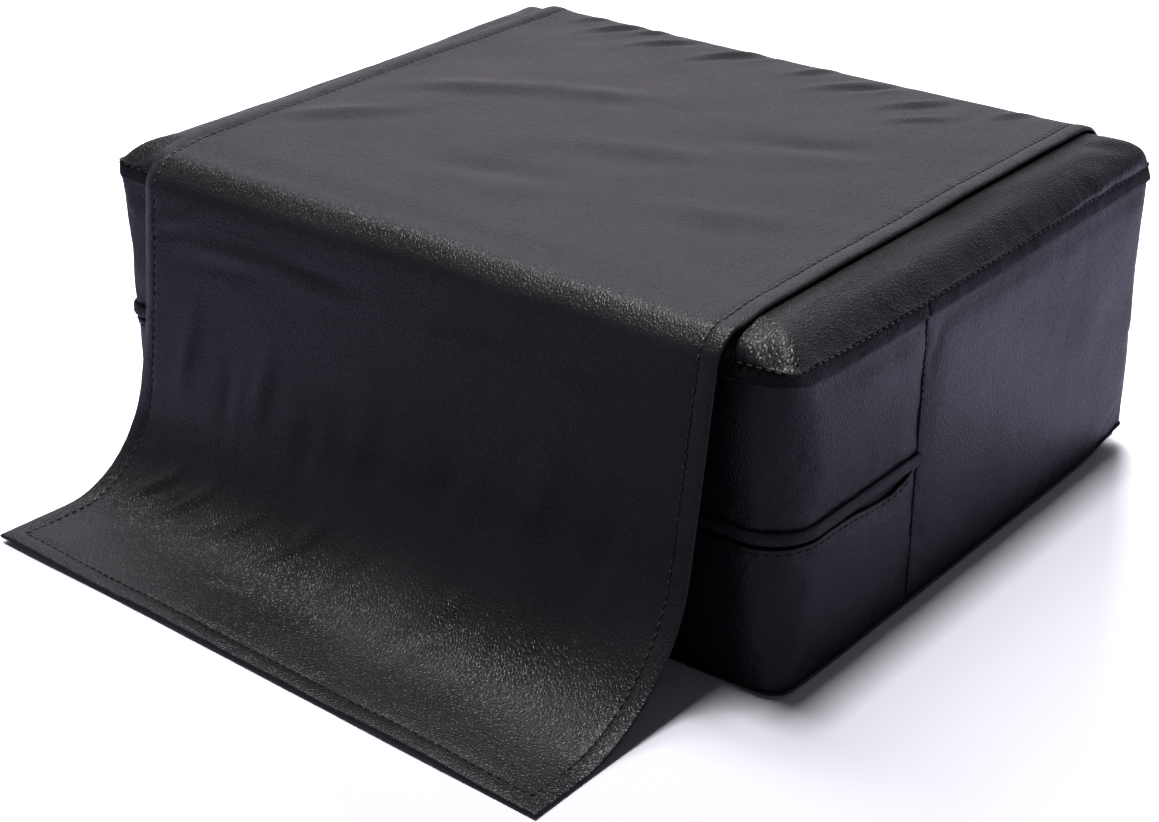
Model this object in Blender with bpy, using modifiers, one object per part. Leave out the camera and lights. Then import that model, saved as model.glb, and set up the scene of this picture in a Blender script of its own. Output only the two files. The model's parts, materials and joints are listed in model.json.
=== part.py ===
"""Child's booster cushion for a salon chair, with a fold-over front apron.

A firm foam block sits in a sewn leatherette cover. The cover is closed by a zip that
runs round the front half of its sides under a folded lip. A long leatherette apron is
sewn along the rear top edge, lies over the seat, hangs down the front and ends flat on
the floor.

Units are metres. +Z is up, the front faces -Y, and the origin is the middle of the
underside of the cushion.
"""

import math

import bmesh
import bpy
from mathutils import Euler, Matrix, Vector

MM = 0.001
GAP = 0.3 * MM                      # clearance between neighbouring solids
SEAM_PLAY = 0.05 * MM               # a little more at seams between faceted runs

# Cushion body
WIDTH = 450 * MM
DEPTH = 360 * MM
SEAM_HEIGHT = 170 * MM              # height of the seam round the top panel
SHEET = 1.2 * MM                    # thickness of the cover's leatherette
EDGE_ROLL = 12 * MM                 # how far in from the seam the top rolls over
EDGE_RISE = 14 * MM                 # how high the roll rises above the seam
CENTRE_RISE = 3 * MM                # further rise from the roll to the middle
LAP_HEIGHT = 11.5 * MM              # the top panel's edge, turned down outside the sides
LAP_STEP = 1.8 * MM                 # how far the sides step in behind that edge
TOP_CORNER_RADIUS = 6 * MM
MIDDLE_CORNER_RADIUS = 26 * MM
BOTTOM_CORNER_RADIUS = 12 * MM
TIGHT_CORNER_RADIUS = 7 * MM        # every corner but the front right one, which is worn round
ROUND_CORNER = (1, -1)
SIDE_SEAM_Y = -63 * MM              # the upright seams where the front and rear sides meet
SMALLEST_CORNER = 2 * MM
CORNER_STEPS = 6
SIDE_LEVELS = 6                     # rings between the bottom and the top of a full side
BOTTOM_THICKNESS = 1.5 * MM
SIDES_BOTTOM = 0.4 * MM             # the sides' own lowest and highest edges
SIDES_TOP_DROP = 0.5 * MM

# Zip opening round the front
OPENING_BOTTOM = 75.5 * MM
OPENING_TOP = 89 * MM
ZIP_HEIGHT = 83 * MM                # where the two tapes meet
TAPE_INSET = 2.5 * MM
TAPE_THICKNESS = 0.7 * MM
TAPE_WIDTH = 13 * MM
TAPE_EDGE_GAP = 0.6 * MM            # from the meeting line to each tape's edge
COIL_RADIUS = 0.8 * MM
COIL_INSET = 1.4 * MM
COIL_END_MARGIN = 4 * MM            # the coils stop this far in front of the side seams
STOP_SIZE = Vector((1.6, 2.5, 7.0)) * MM
LIP_BOTTOM = 78.8 * MM
LIP_TOP = 88.5 * MM
LIP_PROUD = 2.8 * MM                # how far the lip's outer face stands off the sides
LIP_THICKNESS = 2.0 * MM

# Zip slider and pull
SLIDER_X = -170 * MM
SLIDER_LENGTH = 10 * MM
SLIDER_HEIGHT = 10 * MM
SLIDER_PLATE = 0.8 * MM
SLIDER_POST = 0.6 * MM
LUG_SIZE = Vector((2.0, 2.9, 2.4)) * MM
LUG_BORE_RADIUS = 0.8 * MM
LUG_STANDOFF = 0.2 * MM
PIVOT_PROUD = 1.9 * MM              # the pull's pivot, out from the front face
PIVOT_HEIGHT = 77.2 * MM
RING_WIRE_RADIUS = 0.45 * MM
RING_HALF_WIDTH = 4 * MM
RING_DROP = 6 * MM
PULL_LOOP_RADIUS = 1.6 * MM
PULL_HALF_THICKNESS = 0.8 * MM
PULL_HALF_WIDTH = 3 * MM
PULL_LENGTH = 22 * MM

# Foam
FOAM_INSET = 6 * MM
CORE_BOTTOM = 3.5 * MM
CORE_TOP = 145 * MM
CORE_EDGE = 20 * MM
TOPPER_SHOULDER = 170 * MM
TOPPER_TOP = 184 * MM

# Apron
APRON_HALF_WIDTH = 192 * MM
APRON_THICKNESS = 1.6 * MM
APRON_CLEARANCE = 0.6 * MM
APRON_REAR_INSET = 6 * MM           # its rear seam, in from the cushion's rear face
FRONT_BEND_RADIUS = 13.5 * MM
FRONT_BEND_OVERHANG = 12.8 * MM     # apron's vertical tangent, out from the front face
DROP_TILT = math.radians(9.5)       # how far the hanging part leans out at the bottom
FRONT_HINGE_ANGLE = math.radians(130)
TOE_BEND_RADIUS = 85 * MM
TOE_HINGE_ANGLE = math.radians(-50)
TOE_TIP_Y = -322 * MM
HINGE_GAP = 4 * MM                  # from a hinge line to the solids on each side
BEND_STEPS = 5
HEM_STITCH_INSET = 10.5 * MM

THREAD_RADIUS = 0.4 * MM
SEAM_STITCH_OFFSET = 1 * MM
TOPSTITCH_DROP = 1.5 * MM           # below the opening's lower edge
SIDE_SEAM_MARGIN = 5 * MM           # the side seams' threads stop this far short at each end
SIDE_STITCH_OFFSET = 2.5 * MM
REAR_STITCH_INSET = 2.5 * MM
REAR_STITCH_RISE = 1.2 * MM         # above the top panel, on the apron's rear edge

BLACK_COVER = (0.012, 0.011, 0.013)
BLACK_APRON = (0.010, 0.009, 0.011)
BLACK_LIP = (0.008, 0.008, 0.008)
BLACK_THREAD = (0.006, 0.006, 0.007)
BLACK_TAPE = (0.015, 0.015, 0.016)
BLACK_METAL = (0.03, 0.03, 0.032)
FOAM_WHITE = (0.72, 0.68, 0.55)
FOAM_CREAM = (0.80, 0.77, 0.68)


# ---------------------------------------------------------------- scene and materials

def clear_scene():
    for old in list(bpy.data.objects):
        bpy.data.objects.remove(old, do_unlink=True)


def new_collection(name):
    collection = bpy.data.collections.new(name)
    bpy.context.scene.collection.children.link(collection)
    return collection


def material(name, colour, roughness, metallic=0.0):
    """A Principled material, shared by every part that asks for the same name."""
    found = bpy.data.materials.get(name)
    if found:
        return found
    made = bpy.data.materials.new(name)
    made.use_nodes = True
    shader = made.node_tree.nodes["Principled BSDF"]
    shader.inputs["Base Color"].default_value = (*colour, 1.0)
    shader.inputs["Roughness"].default_value = roughness
    shader.inputs["Metallic"].default_value = metallic
    return made


def cover_material():
    return material("cover_leatherette", BLACK_COVER, 0.45)


def apron_material():
    return material("apron_leatherette", BLACK_APRON, 0.42)


def thread_material():
    return material("sewing_thread", BLACK_THREAD, 0.6)


def metal_material():
    return material("zip_metal", BLACK_METAL, 0.35, 1.0)


def add_object(name, data, collection, finish=None):
    made = bpy.data.objects.new(name, data)
    collection.objects.link(made)
    if finish:
        data.materials.append(finish)
    return made


# ---------------------------------------------------------------- outlines

def corner_radius(z, corner=ROUND_CORNER):
    """Corner radius of the sides: the round corner is fullest at mid height."""
    if corner != ROUND_CORNER:
        return TIGHT_CORNER_RADIUS
    middle = SEAM_HEIGHT / 2
    share = min(abs(z - middle) / middle, 1.0)
    end_radius = TOP_CORNER_RADIUS if z > middle else BOTTOM_CORNER_RADIUS
    return MIDDLE_CORNER_RADIUS + (end_radius - MIDDLE_CORNER_RADIUS) * share ** 2


def outline(inset, z, seam_shift=0.0, margin=0.0):
    """One level of the cushion's sides, split at the side seams into rear and front runs.

    Each run goes anticlockwise. seam_shift opens a gap at the seams, and margin ends the
    front run that far short of them.
    """
    half_x = WIDTH / 2 - inset
    half_y = DEPTH / 2 - inset

    def corner(sign_x, sign_y, start_degrees):
        radius = max(corner_radius(z, (sign_x, sign_y)) - inset, SMALLEST_CORNER)
        centre = Vector((sign_x * (half_x - radius), sign_y * (half_y - radius), z))
        points = []
        for step in range(CORNER_STEPS + 1):
            angle = math.radians(start_degrees + 90 * step / CORNER_STEPS)
            points.append(centre + radius * Vector((math.cos(angle), math.sin(angle), 0)))
        return points

    rear_y = SIDE_SEAM_Y + seam_shift
    front_y = SIDE_SEAM_Y - seam_shift - margin
    rear = [Vector((half_x, rear_y, z))] + corner(1, 1, 0) + corner(-1, 1, 90)
    rear.append(Vector((-half_x, rear_y, z)))
    front = [Vector((-half_x, front_y, z))] + corner(-1, -1, 180) + corner(1, -1, 270)
    front.append(Vector((half_x, front_y, z)))
    return rear, front


def closed_outline(inset, z):
    """A whole level, without the points on the side seams."""
    rear, front = outline(inset, z)
    return rear[1:-1] + front[1:-1]


def crown_height(inset):
    """Height of the top panel at a distance in from its seam."""
    if inset < EDGE_ROLL:
        return SEAM_HEIGHT + EDGE_RISE * math.sqrt(1 - (1 - inset / EDGE_ROLL) ** 2)
    across = 1 - (inset - EDGE_ROLL) / (DEPTH / 2 - EDGE_ROLL)
    return SEAM_HEIGHT + EDGE_RISE + CENTRE_RISE * (1 - across ** 2)


def crown_insets():
    """Where the top panel has its rings: close together on the roll, wide on the flat."""
    steps = 5
    roll = [EDGE_ROLL * (1 - math.cos(math.pi / 2 * step / steps)) for step in range(steps + 1)]
    flat = [EDGE_ROLL + (DEPTH / 2 - EDGE_ROLL) * share for share in (0.15, 0.4, 0.7)]
    return roll + flat


# ---------------------------------------------------------------- meshes from outlines

def loft(name, rings, collection, finish, closed, cap_first=False, cap_last=False):
    """A surface through rings of equal length, with its normals facing out."""
    mesh = bpy.data.meshes.new(name)
    bm = bmesh.new()
    rows = [[bm.verts.new(point) for point in ring] for ring in rings]
    count = len(rings[0])
    spans = count if closed else count - 1
    for lower, upper in zip(rows, rows[1:]):
        for index in range(spans):
            after = (index + 1) % count
            bm.faces.new((lower[index], lower[after], upper[after], upper[index]))
    if cap_first:
        bm.faces.new(list(reversed(rows[0])))
    if cap_last:
        bm.faces.new(rows[-1])
    bm.to_mesh(mesh)
    bm.free()
    return add_object(name, mesh, collection, finish)


def thicken(piece, thickness):
    """Give an open surface its thickness, inwards."""
    solid = piece.modifiers.new("thickness", "SOLIDIFY")
    solid.thickness = thickness
    solid.offset = -1
    solid.use_even_offset = True


def box(name, centre, size, collection, finish=None):
    mesh = bpy.data.meshes.new(name)
    bm = bmesh.new()
    bmesh.ops.create_cube(bm, size=1.0, matrix=Matrix.Diagonal((*size, 1.0)))
    bm.to_mesh(mesh)
    bm.free()
    made = add_object(name, mesh, collection, finish)
    made.location = centre
    return made


def side_levels(bottom, top):
    """Levels (inset, z) of a piece of the sides; above the lap it steps inwards."""
    lap_bottom = SEAM_HEIGHT - LAP_HEIGHT
    straight_top = min(top, lap_bottom - LAP_STEP)
    steps = max(2, round(SIDE_LEVELS * (straight_top - bottom) / lap_bottom))
    levels = [(0.0, bottom + (straight_top - bottom) * step / steps) for step in range(steps + 1)]
    if top > lap_bottom:
        levels.append((LAP_STEP, lap_bottom))
        levels.append((LAP_STEP, top))
    return levels


def side_piece(name, levels, which, collection, finish, thickness, margin=0.0):
    """A strip of the sides: which is 0 for the rear run and 1 for the front run."""
    rings = [outline(inset, z, GAP / 2 + SEAM_PLAY, margin)[which] for inset, z in levels]
    piece = loft(name, rings, collection, finish, closed=False)
    thicken(piece, thickness)
    return piece


# ---------------------------------------------------------------- curves

def cord(name, points, radius, collection, finish, closed=False, roundness=0):
    """A thread, coil or wire: a tube along a polyline, with filled ends."""
    curve = bpy.data.curves.new(name, "CURVE")
    curve.dimensions = "3D"
    curve.bevel_depth = radius
    curve.bevel_resolution = roundness
    curve.use_fill_caps = True
    spline = curve.splines.new("POLY")
    spline.points.add(len(points) - 1)
    for target, point in zip(spline.points, points):
        target.co = (*point, 1.0)
    spline.use_cyclic_u = closed
    return add_object(name, curve, collection, finish)


def extruded(name, loops, half_width, collection, finish):
    """Closed (y, z) loops filled and extruded along X to both sides of the origin."""
    curve = bpy.data.curves.new(name, "CURVE")
    curve.dimensions = "2D"
    curve.fill_mode = "BOTH"
    curve.extrude = half_width
    for loop in loops:
        spline = curve.splines.new("POLY")
        spline.points.add(len(loop) - 1)
        for target, (y, z) in zip(spline.points, loop):
            target.co = (y, z, 0.0, 1.0)
        spline.use_cyclic_u = True
    made = add_object(name, curve, collection, finish)
    made.rotation_euler = Euler((math.pi / 2, 0, math.pi / 2))
    return made


def arc(centre, radius, start, end, steps):
    """Points (y, z) along an arc, both ends included."""
    points = []
    for step in range(steps + 1):
        angle = start + (end - start) * step / steps
        points.append((centre[0] + radius * math.cos(angle), centre[1] + radius * math.sin(angle)))
    return points


def offset_line(points, distance):
    """A (y, z) polyline moved sideways, to its right when the distance is positive."""
    moved = []
    for index, (y, z) in enumerate(points):
        before = points[max(index - 1, 0)]
        after = points[min(index + 1, len(points) - 1)]
        along = Vector((after[0] - before[0], after[1] - before[1])).normalized()
        moved.append((y + along.y * distance, z - along.x * distance))
    return moved


def band(points, half_thickness):
    """The closed outline of a sheet whose middle follows the points."""
    one_side = offset_line(points, half_thickness)
    other_side = offset_line(points, -half_thickness)
    return one_side + list(reversed(other_side))


# ---------------------------------------------------------------- the apron's path

FRONT_BEND_CENTRE = (
    -DEPTH / 2 - FRONT_BEND_OVERHANG + FRONT_BEND_RADIUS,
    crown_height(EDGE_ROLL) + APRON_CLEARANCE + APRON_THICKNESS / 2 - FRONT_BEND_RADIUS,
)
FRONT_BEND_END = math.pi - DROP_TILT
FRONT_HINGE = arc(FRONT_BEND_CENTRE, FRONT_BEND_RADIUS, FRONT_HINGE_ANGLE, 0, 1)[0]
REAR_HINGE = (
    DEPTH / 2 - APRON_REAR_INSET,
    crown_height(APRON_REAR_INSET) + APRON_CLEARANCE + APRON_THICKNESS / 2,
)


def toe_bend_centre():
    """Centre of the arc that joins the leaning drop to the floor."""
    height = APRON_THICKNESS / 2 + TOE_BEND_RADIUS
    line_y, line_z = arc(FRONT_BEND_CENTRE, FRONT_BEND_RADIUS, FRONT_BEND_END, 0, 1)[0]
    tangent_z = height - TOE_BEND_RADIUS * math.sin(DROP_TILT)
    tangent_y = line_y - (line_z - tangent_z) * math.tan(DROP_TILT)
    return tangent_y - TOE_BEND_RADIUS * math.cos(DROP_TILT), height


TOE_BEND_CENTRE = toe_bend_centre()
TOE_HINGE = arc(TOE_BEND_CENTRE, TOE_BEND_RADIUS, TOE_HINGE_ANGLE, 0, 1)[0]


def seat_path():
    """Middle of the apron over the seat, from just in front of the rear seam."""
    lift = APRON_CLEARANCE + APRON_THICKNESS / 2
    insets = [APRON_REAR_INSET + HINGE_GAP, EDGE_ROLL] + crown_insets()[-3:]
    rear = [(DEPTH / 2 - inset, crown_height(inset) + lift) for inset in insets]
    front = [(-y, z) for y, z in reversed(rear[1:])]
    bend_stop = FRONT_HINGE_ANGLE - HINGE_GAP / FRONT_BEND_RADIUS
    bend = arc(FRONT_BEND_CENTRE, FRONT_BEND_RADIUS, math.pi / 2, bend_stop, 2)
    return rear + front + bend


def drop_path():
    """Middle of the hanging part, from below the front bend to the start of the toe."""
    bend_start = FRONT_HINGE_ANGLE + HINGE_GAP / FRONT_BEND_RADIUS
    bend = arc(FRONT_BEND_CENTRE, FRONT_BEND_RADIUS, bend_start, FRONT_BEND_END, 2)
    toe_stop = TOE_HINGE_ANGLE + HINGE_GAP / TOE_BEND_RADIUS
    toe = arc(TOE_BEND_CENTRE, TOE_BEND_RADIUS, -DROP_TILT, toe_stop, BEND_STEPS)
    return bend + toe


def toe_path(tip_y=TOE_TIP_Y):
    """Middle of the toe, from the bend to the tip on the floor."""
    toe_start = TOE_HINGE_ANGLE - HINGE_GAP / TOE_BEND_RADIUS
    toe = arc(TOE_BEND_CENTRE, TOE_BEND_RADIUS, toe_start, -math.pi / 2, BEND_STEPS)
    return toe + [(tip_y, APRON_THICKNESS / 2)]


# ---------------------------------------------------------------- cover

def make_top_panel(parts):
    """Crowned top with its edge turned down outside the sides."""
    lap_bottom = SEAM_HEIGHT - LAP_HEIGHT
    rings = [closed_outline(0.0, lap_bottom)]
    rings += [closed_outline(inset, crown_height(inset)) for inset in crown_insets()]
    panel = loft("top_panel", rings, parts, cover_material(), closed=True, cap_last=True)
    thicken(panel, SHEET)


def make_sides(parts):
    top = SEAM_HEIGHT - SIDES_TOP_DROP
    bottom = SIDES_BOTTOM
    finish = cover_material()
    side_piece("rear_boxing", side_levels(bottom, top), 0, parts, finish, SHEET)
    side_piece("front_upper_boxing", side_levels(OPENING_TOP, top), 1, parts, finish, SHEET)
    side_piece("front_lower_boxing", side_levels(bottom, OPENING_BOTTOM), 1, parts, finish, SHEET)


def make_bottom_panel(parts):
    inset = SHEET + GAP
    rings = [closed_outline(inset, 0.0), closed_outline(inset, BOTTOM_THICKNESS)]
    loft("bottom_panel", rings, parts, cover_material(), True, cap_first=True, cap_last=True)


# ---------------------------------------------------------------- zip

def make_zip_tapes(parts):
    finish = material("zip_tape", BLACK_TAPE, 0.85)
    upper_edge = ZIP_HEIGHT + TAPE_EDGE_GAP
    lower_edge = ZIP_HEIGHT - TAPE_EDGE_GAP
    upper = [(TAPE_INSET, upper_edge), (TAPE_INSET, upper_edge + TAPE_WIDTH)]
    lower = [(TAPE_INSET, lower_edge - TAPE_WIDTH), (TAPE_INSET, lower_edge)]
    side_piece("zip_tape_upper", upper, 1, parts, finish, TAPE_THICKNESS)
    side_piece("zip_tape_lower", lower, 1, parts, finish, TAPE_THICKNESS)


def make_zip_coils(parts):
    finish = material("zip_coil", BLACK_TAPE, 0.4)
    centre_offset = TAPE_EDGE_GAP + COIL_RADIUS
    for name, z in (("zip_coil_upper", ZIP_HEIGHT + centre_offset),
                    ("zip_coil_lower", ZIP_HEIGHT - centre_offset)):
        path = outline(COIL_INSET, z, margin=COIL_END_MARGIN)[1]
        cord(name, path, COIL_RADIUS, parts, finish)


def make_zip_stops(parts):
    """Metal stops that close off both ends of the coils, beside the side seams."""
    x = WIDTH / 2 - COIL_INSET
    y = SIDE_SEAM_Y - COIL_END_MARGIN + GAP + STOP_SIZE.y / 2
    for name, side in (("zip_start_stop", -1), ("zip_end_stop", 1)):
        box(name, (side * x, y, ZIP_HEIGHT), STOP_SIZE, parts, metal_material())


def make_zip_lip(parts):
    """Folded lip over the zip: a straight front run that lifts, and two fixed ends."""
    finish = material("lip_leatherette", BLACK_LIP, 0.5)
    corner_x = WIDTH / 2 - corner_radius(LIP_BOTTOM)
    front_y = -DEPTH / 2 - LIP_PROUD
    left, right = [], []
    for z in (LIP_BOTTOM, LIP_TOP):
        run = outline(-LIP_PROUD, z, seam_shift=GAP)[1]
        left.append(run[:CORNER_STEPS + 2] + [Vector((-corner_x, front_y, z))])
        right.append(run[CORNER_STEPS + 2:])
    for name, rings in (("zip_lip_left", left), ("zip_lip_right", right)):
        thicken(loft(name, rings, parts, finish, closed=False), LIP_THICKNESS)
    size = Vector((2 * (corner_x - GAP), LIP_THICKNESS, LIP_TOP - LIP_BOTTOM))
    hinge = Vector((0, front_y + LIP_THICKNESS, LIP_TOP))
    front = box("zip_lip_front", hinge, size, parts, finish)
    front.data.transform(Matrix.Translation((0, -size.y / 2, -size.z / 2)))


def boolean(piece, other, operation):
    change = piece.modifiers.new(operation.lower(), "BOOLEAN")
    change.operation = operation
    change.object = other
    other.hide_render = True
    other.display_type = "WIRE"


def make_zip_slider(parts, guides):
    """An I-shaped slider: a plate each side of the coils, a post between, and a lug."""
    front = -DEPTH / 2
    outer_face = front + COIL_INSET - COIL_RADIUS - GAP
    inner_face = front + TAPE_INSET + TAPE_THICKNESS + GAP
    half_height = SLIDER_HEIGHT / 2
    half_post = SLIDER_POST / 2
    section = [
        (outer_face - SLIDER_PLATE, -half_height), (outer_face, -half_height),
        (outer_face, -half_post), (inner_face, -half_post),
        (inner_face, -half_height), (inner_face + SLIDER_PLATE, -half_height),
        (inner_face + SLIDER_PLATE, half_height), (inner_face, half_height),
        (inner_face, half_post), (outer_face, half_post),
        (outer_face, half_height), (outer_face - SLIDER_PLATE, half_height),
    ]
    beam_curve = extruded("slider_beam", [section], SLIDER_LENGTH / 2, guides, None)
    bpy.context.view_layer.update()
    evaluated = beam_curve.evaluated_get(bpy.context.evaluated_depsgraph_get())
    mesh = bpy.data.meshes.new_from_object(evaluated)
    mesh.transform(beam_curve.matrix_world)
    bpy.data.objects.remove(beam_curve, do_unlink=True)
    bm = bmesh.new()
    bm.from_mesh(mesh)
    bmesh.ops.remove_doubles(bm, verts=bm.verts, dist=0.01 * MM)
    bm.to_mesh(mesh)
    bm.free()
    slider = add_object("zip_slider", mesh, parts, metal_material())
    slider.location = (SLIDER_X, 0, ZIP_HEIGHT)

    lug_y = front - LUG_STANDOFF - LUG_SIZE.y / 2
    lug = box("slider_lug", (SLIDER_X, lug_y, PIVOT_HEIGHT), LUG_SIZE, guides)
    boolean(slider, lug, "UNION")
    bore_mesh = bpy.data.meshes.new("slider_bore")
    bm = bmesh.new()
    bmesh.ops.create_cone(bm, cap_ends=True, segments=16, radius1=LUG_BORE_RADIUS,
                          radius2=LUG_BORE_RADIUS, depth=2 * LUG_SIZE.x)
    bm.to_mesh(bore_mesh)
    bm.free()
    bore = add_object("slider_bore", bore_mesh, guides)
    bore.location = (SLIDER_X, front - PIVOT_PROUD, PIVOT_HEIGHT)
    bore.rotation_euler = (0, math.pi / 2, 0)
    boolean(slider, bore, "DIFFERENCE")


def make_zip_pull(parts):
    """Wire ring through the slider's lug, and a folded tab hanging on the ring."""
    pivot = Vector((SLIDER_X, -DEPTH / 2 - PIVOT_PROUD, PIVOT_HEIGHT))
    chamfer = RING_HALF_WIDTH / 4
    half = RING_HALF_WIDTH
    ring_points = [
        (-half + chamfer, 0, 0), (half - chamfer, 0, 0),
        (half, 0, -chamfer), (half, 0, -RING_DROP + chamfer),
        (half - chamfer, 0, -RING_DROP), (-half + chamfer, 0, -RING_DROP),
        (-half, 0, -RING_DROP + chamfer), (-half, 0, -chamfer),
    ]
    ring = cord("zip_pull_ring", ring_points, RING_WIRE_RADIUS, parts, metal_material(),
                closed=True, roundness=1)
    ring.location = pivot

    loop_centre = (0.0, -RING_DROP)
    opening = math.asin(PULL_HALF_THICKNESS / PULL_LOOP_RADIUS)
    start = -math.pi / 2 + opening
    outer = arc(loop_centre, PULL_LOOP_RADIUS, start, start + 2 * (math.pi - opening), 14)
    outer += [(-PULL_HALF_THICKNESS, -PULL_LENGTH), (PULL_HALF_THICKNESS, -PULL_LENGTH)]
    hole_radius = RING_WIRE_RADIUS + GAP + SEAM_PLAY
    hole = arc(loop_centre, hole_radius, 0, 2 * math.pi, 12)[:-1]
    tab = extruded("zip_pull_tab", [outer, hole], PULL_HALF_WIDTH, parts, apron_material())
    tab.location = pivot


# ---------------------------------------------------------------- foam

def make_foam(parts):
    core_height = CORE_TOP - CORE_BOTTOM
    size = (WIDTH - 2 * FOAM_INSET, DEPTH - 2 * FOAM_INSET, core_height)
    centre = (0, 0, CORE_BOTTOM + core_height / 2)
    core = box("foam_core", centre, size, parts, material("firm_foam", FOAM_CREAM, 0.9))
    edges = core.modifiers.new("edges", "BEVEL")
    edges.width = CORE_EDGE
    edges.segments = 3

    rings = [
        closed_outline(FOAM_INSET, CORE_TOP + GAP),
        closed_outline(FOAM_INSET, TOPPER_SHOULDER),
        closed_outline(2 * FOAM_INSET, (TOPPER_SHOULDER + 2 * TOPPER_TOP) / 3 - 2 * MM),
        closed_outline(4 * FOAM_INSET, TOPPER_TOP - 2 * MM),
        closed_outline(DEPTH / 4, TOPPER_TOP),
    ]
    soft = material("soft_foam", FOAM_WHITE, 0.9)
    loft("foam_topper", rings, parts, soft, True, cap_first=True, cap_last=True)


# ---------------------------------------------------------------- apron

def apron_sheet(name, path, hinge, parts):
    """One length of the apron, with its origin on the hinge line behind it."""
    local = [(y - hinge[0], z - hinge[1]) for y, z in path]
    sheet = extruded(name, [band(local, APRON_THICKNESS / 2)], APRON_HALF_WIDTH, parts,
                     apron_material())
    sheet.location = (0, *hinge)


def make_apron(parts):
    apron_sheet("apron_seat_sheet", seat_path(), REAR_HINGE, parts)
    apron_sheet("apron_front_sheet", drop_path(), FRONT_HINGE, parts)
    apron_sheet("apron_toe_sheet", toe_path(), TOE_HINGE, parts)


# ---------------------------------------------------------------- threads

def make_cover_threads(parts):
    stand_off = THREAD_RADIUS + GAP
    finish = thread_material()
    top = closed_outline(-stand_off, SEAM_HEIGHT + SEAM_STITCH_OFFSET)
    cord("top_seam_thread", top, THREAD_RADIUS, parts, finish, closed=True)
    inside = SHEET + SEAM_STITCH_OFFSET
    bottom = closed_outline(inside, BOTTOM_THICKNESS + SEAM_STITCH_OFFSET)
    cord("bottom_seam_thread", bottom, THREAD_RADIUS, parts, finish, closed=True)
    topstitch = outline(-stand_off, OPENING_BOTTOM - TOPSTITCH_DROP, margin=SEAM_STITCH_OFFSET)[1]
    cord("lower_boxing_thread", topstitch, THREAD_RADIUS, parts, finish)
    seam_top = SEAM_HEIGHT - LAP_HEIGHT - SIDE_SEAM_MARGIN
    for name, side in (("side_seam_thread_left", -1), ("side_seam_thread_right", 1)):
        x = side * (WIDTH / 2 - inside)
        y = SIDE_SEAM_Y + SIDE_STITCH_OFFSET
        cord(name, [(x, y, SIDE_SEAM_MARGIN), (x, y, seam_top)], THREAD_RADIUS, parts, finish)


def make_apron_threads(parts):
    rise = APRON_THICKNESS / 2 + GAP + THREAD_RADIUS
    x = APRON_HALF_WIDTH - HEM_STITCH_INSET
    finish = thread_material()
    clear_of_fold = (("seat", seat_path()[:-1]), ("front", drop_path()[1:]))
    for part_name, path in clear_of_fold:
        line = offset_line(path, rise)
        for side_name, side in (("left", -1), ("right", 1)):
            points = [(side * x, y, z) for y, z in line]
            name = f"apron_{part_name}_thread_{side_name}"
            cord(name, points, THREAD_RADIUS, parts, finish)
    toe = offset_line(toe_path(TOE_TIP_Y + HEM_STITCH_INSET), rise)
    there = [(x, y, z) for y, z in toe]
    back = [(-x, y, z) for y, z in reversed(toe)]
    cord("apron_toe_thread", there + back, THREAD_RADIUS, parts, finish)
    seam_y = DEPTH / 2 - REAR_STITCH_INSET
    seam_z = crown_height(REAR_STITCH_INSET) + REAR_STITCH_RISE
    ends = [(-x, seam_y, seam_z), (x, seam_y, seam_z)]
    cord("apron_rear_seam_thread", ends, THREAD_RADIUS, parts, finish)


def main():
    clear_scene()
    parts = new_collection("booster_cushion")
    guides = new_collection("guides")
    make_top_panel(parts)
    make_sides(parts)
    make_bottom_panel(parts)
    make_zip_tapes(parts)
    make_zip_coils(parts)
    make_zip_stops(parts)
    make_zip_lip(parts)
    make_zip_slider(parts, guides)
    make_zip_pull(parts)
    make_foam(parts)
    make_apron(parts)
    make_cover_threads(parts)
    make_apron_threads(parts)


main()
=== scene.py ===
"""Looks of a salon booster cushion: grained black leatherette, sewn seams, zip and apron.

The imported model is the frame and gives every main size. The rest are small sewing details
that the CAD leaves out. Lengths are metres; tables say so where they are in millimetres.
"""

import json
import math

import bmesh
import bpy
import numpy as np
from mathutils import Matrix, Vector


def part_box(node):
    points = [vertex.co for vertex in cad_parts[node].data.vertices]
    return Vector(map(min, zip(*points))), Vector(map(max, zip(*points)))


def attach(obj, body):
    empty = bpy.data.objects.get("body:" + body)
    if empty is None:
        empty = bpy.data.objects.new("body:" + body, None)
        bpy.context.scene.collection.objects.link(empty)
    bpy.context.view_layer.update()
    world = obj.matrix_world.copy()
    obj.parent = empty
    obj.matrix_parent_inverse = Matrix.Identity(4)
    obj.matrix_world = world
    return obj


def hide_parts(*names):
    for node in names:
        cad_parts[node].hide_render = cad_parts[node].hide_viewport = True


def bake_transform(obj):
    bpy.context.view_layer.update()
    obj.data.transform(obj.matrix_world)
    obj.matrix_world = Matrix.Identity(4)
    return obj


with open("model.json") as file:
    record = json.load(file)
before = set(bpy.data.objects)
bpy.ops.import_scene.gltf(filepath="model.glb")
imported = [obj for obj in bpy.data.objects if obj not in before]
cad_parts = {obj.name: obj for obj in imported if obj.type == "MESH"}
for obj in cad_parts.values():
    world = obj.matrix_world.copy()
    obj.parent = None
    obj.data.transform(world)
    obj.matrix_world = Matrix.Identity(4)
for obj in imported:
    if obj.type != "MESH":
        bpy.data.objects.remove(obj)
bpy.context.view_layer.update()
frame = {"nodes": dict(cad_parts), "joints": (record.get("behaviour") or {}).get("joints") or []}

MM = 0.001

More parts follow.
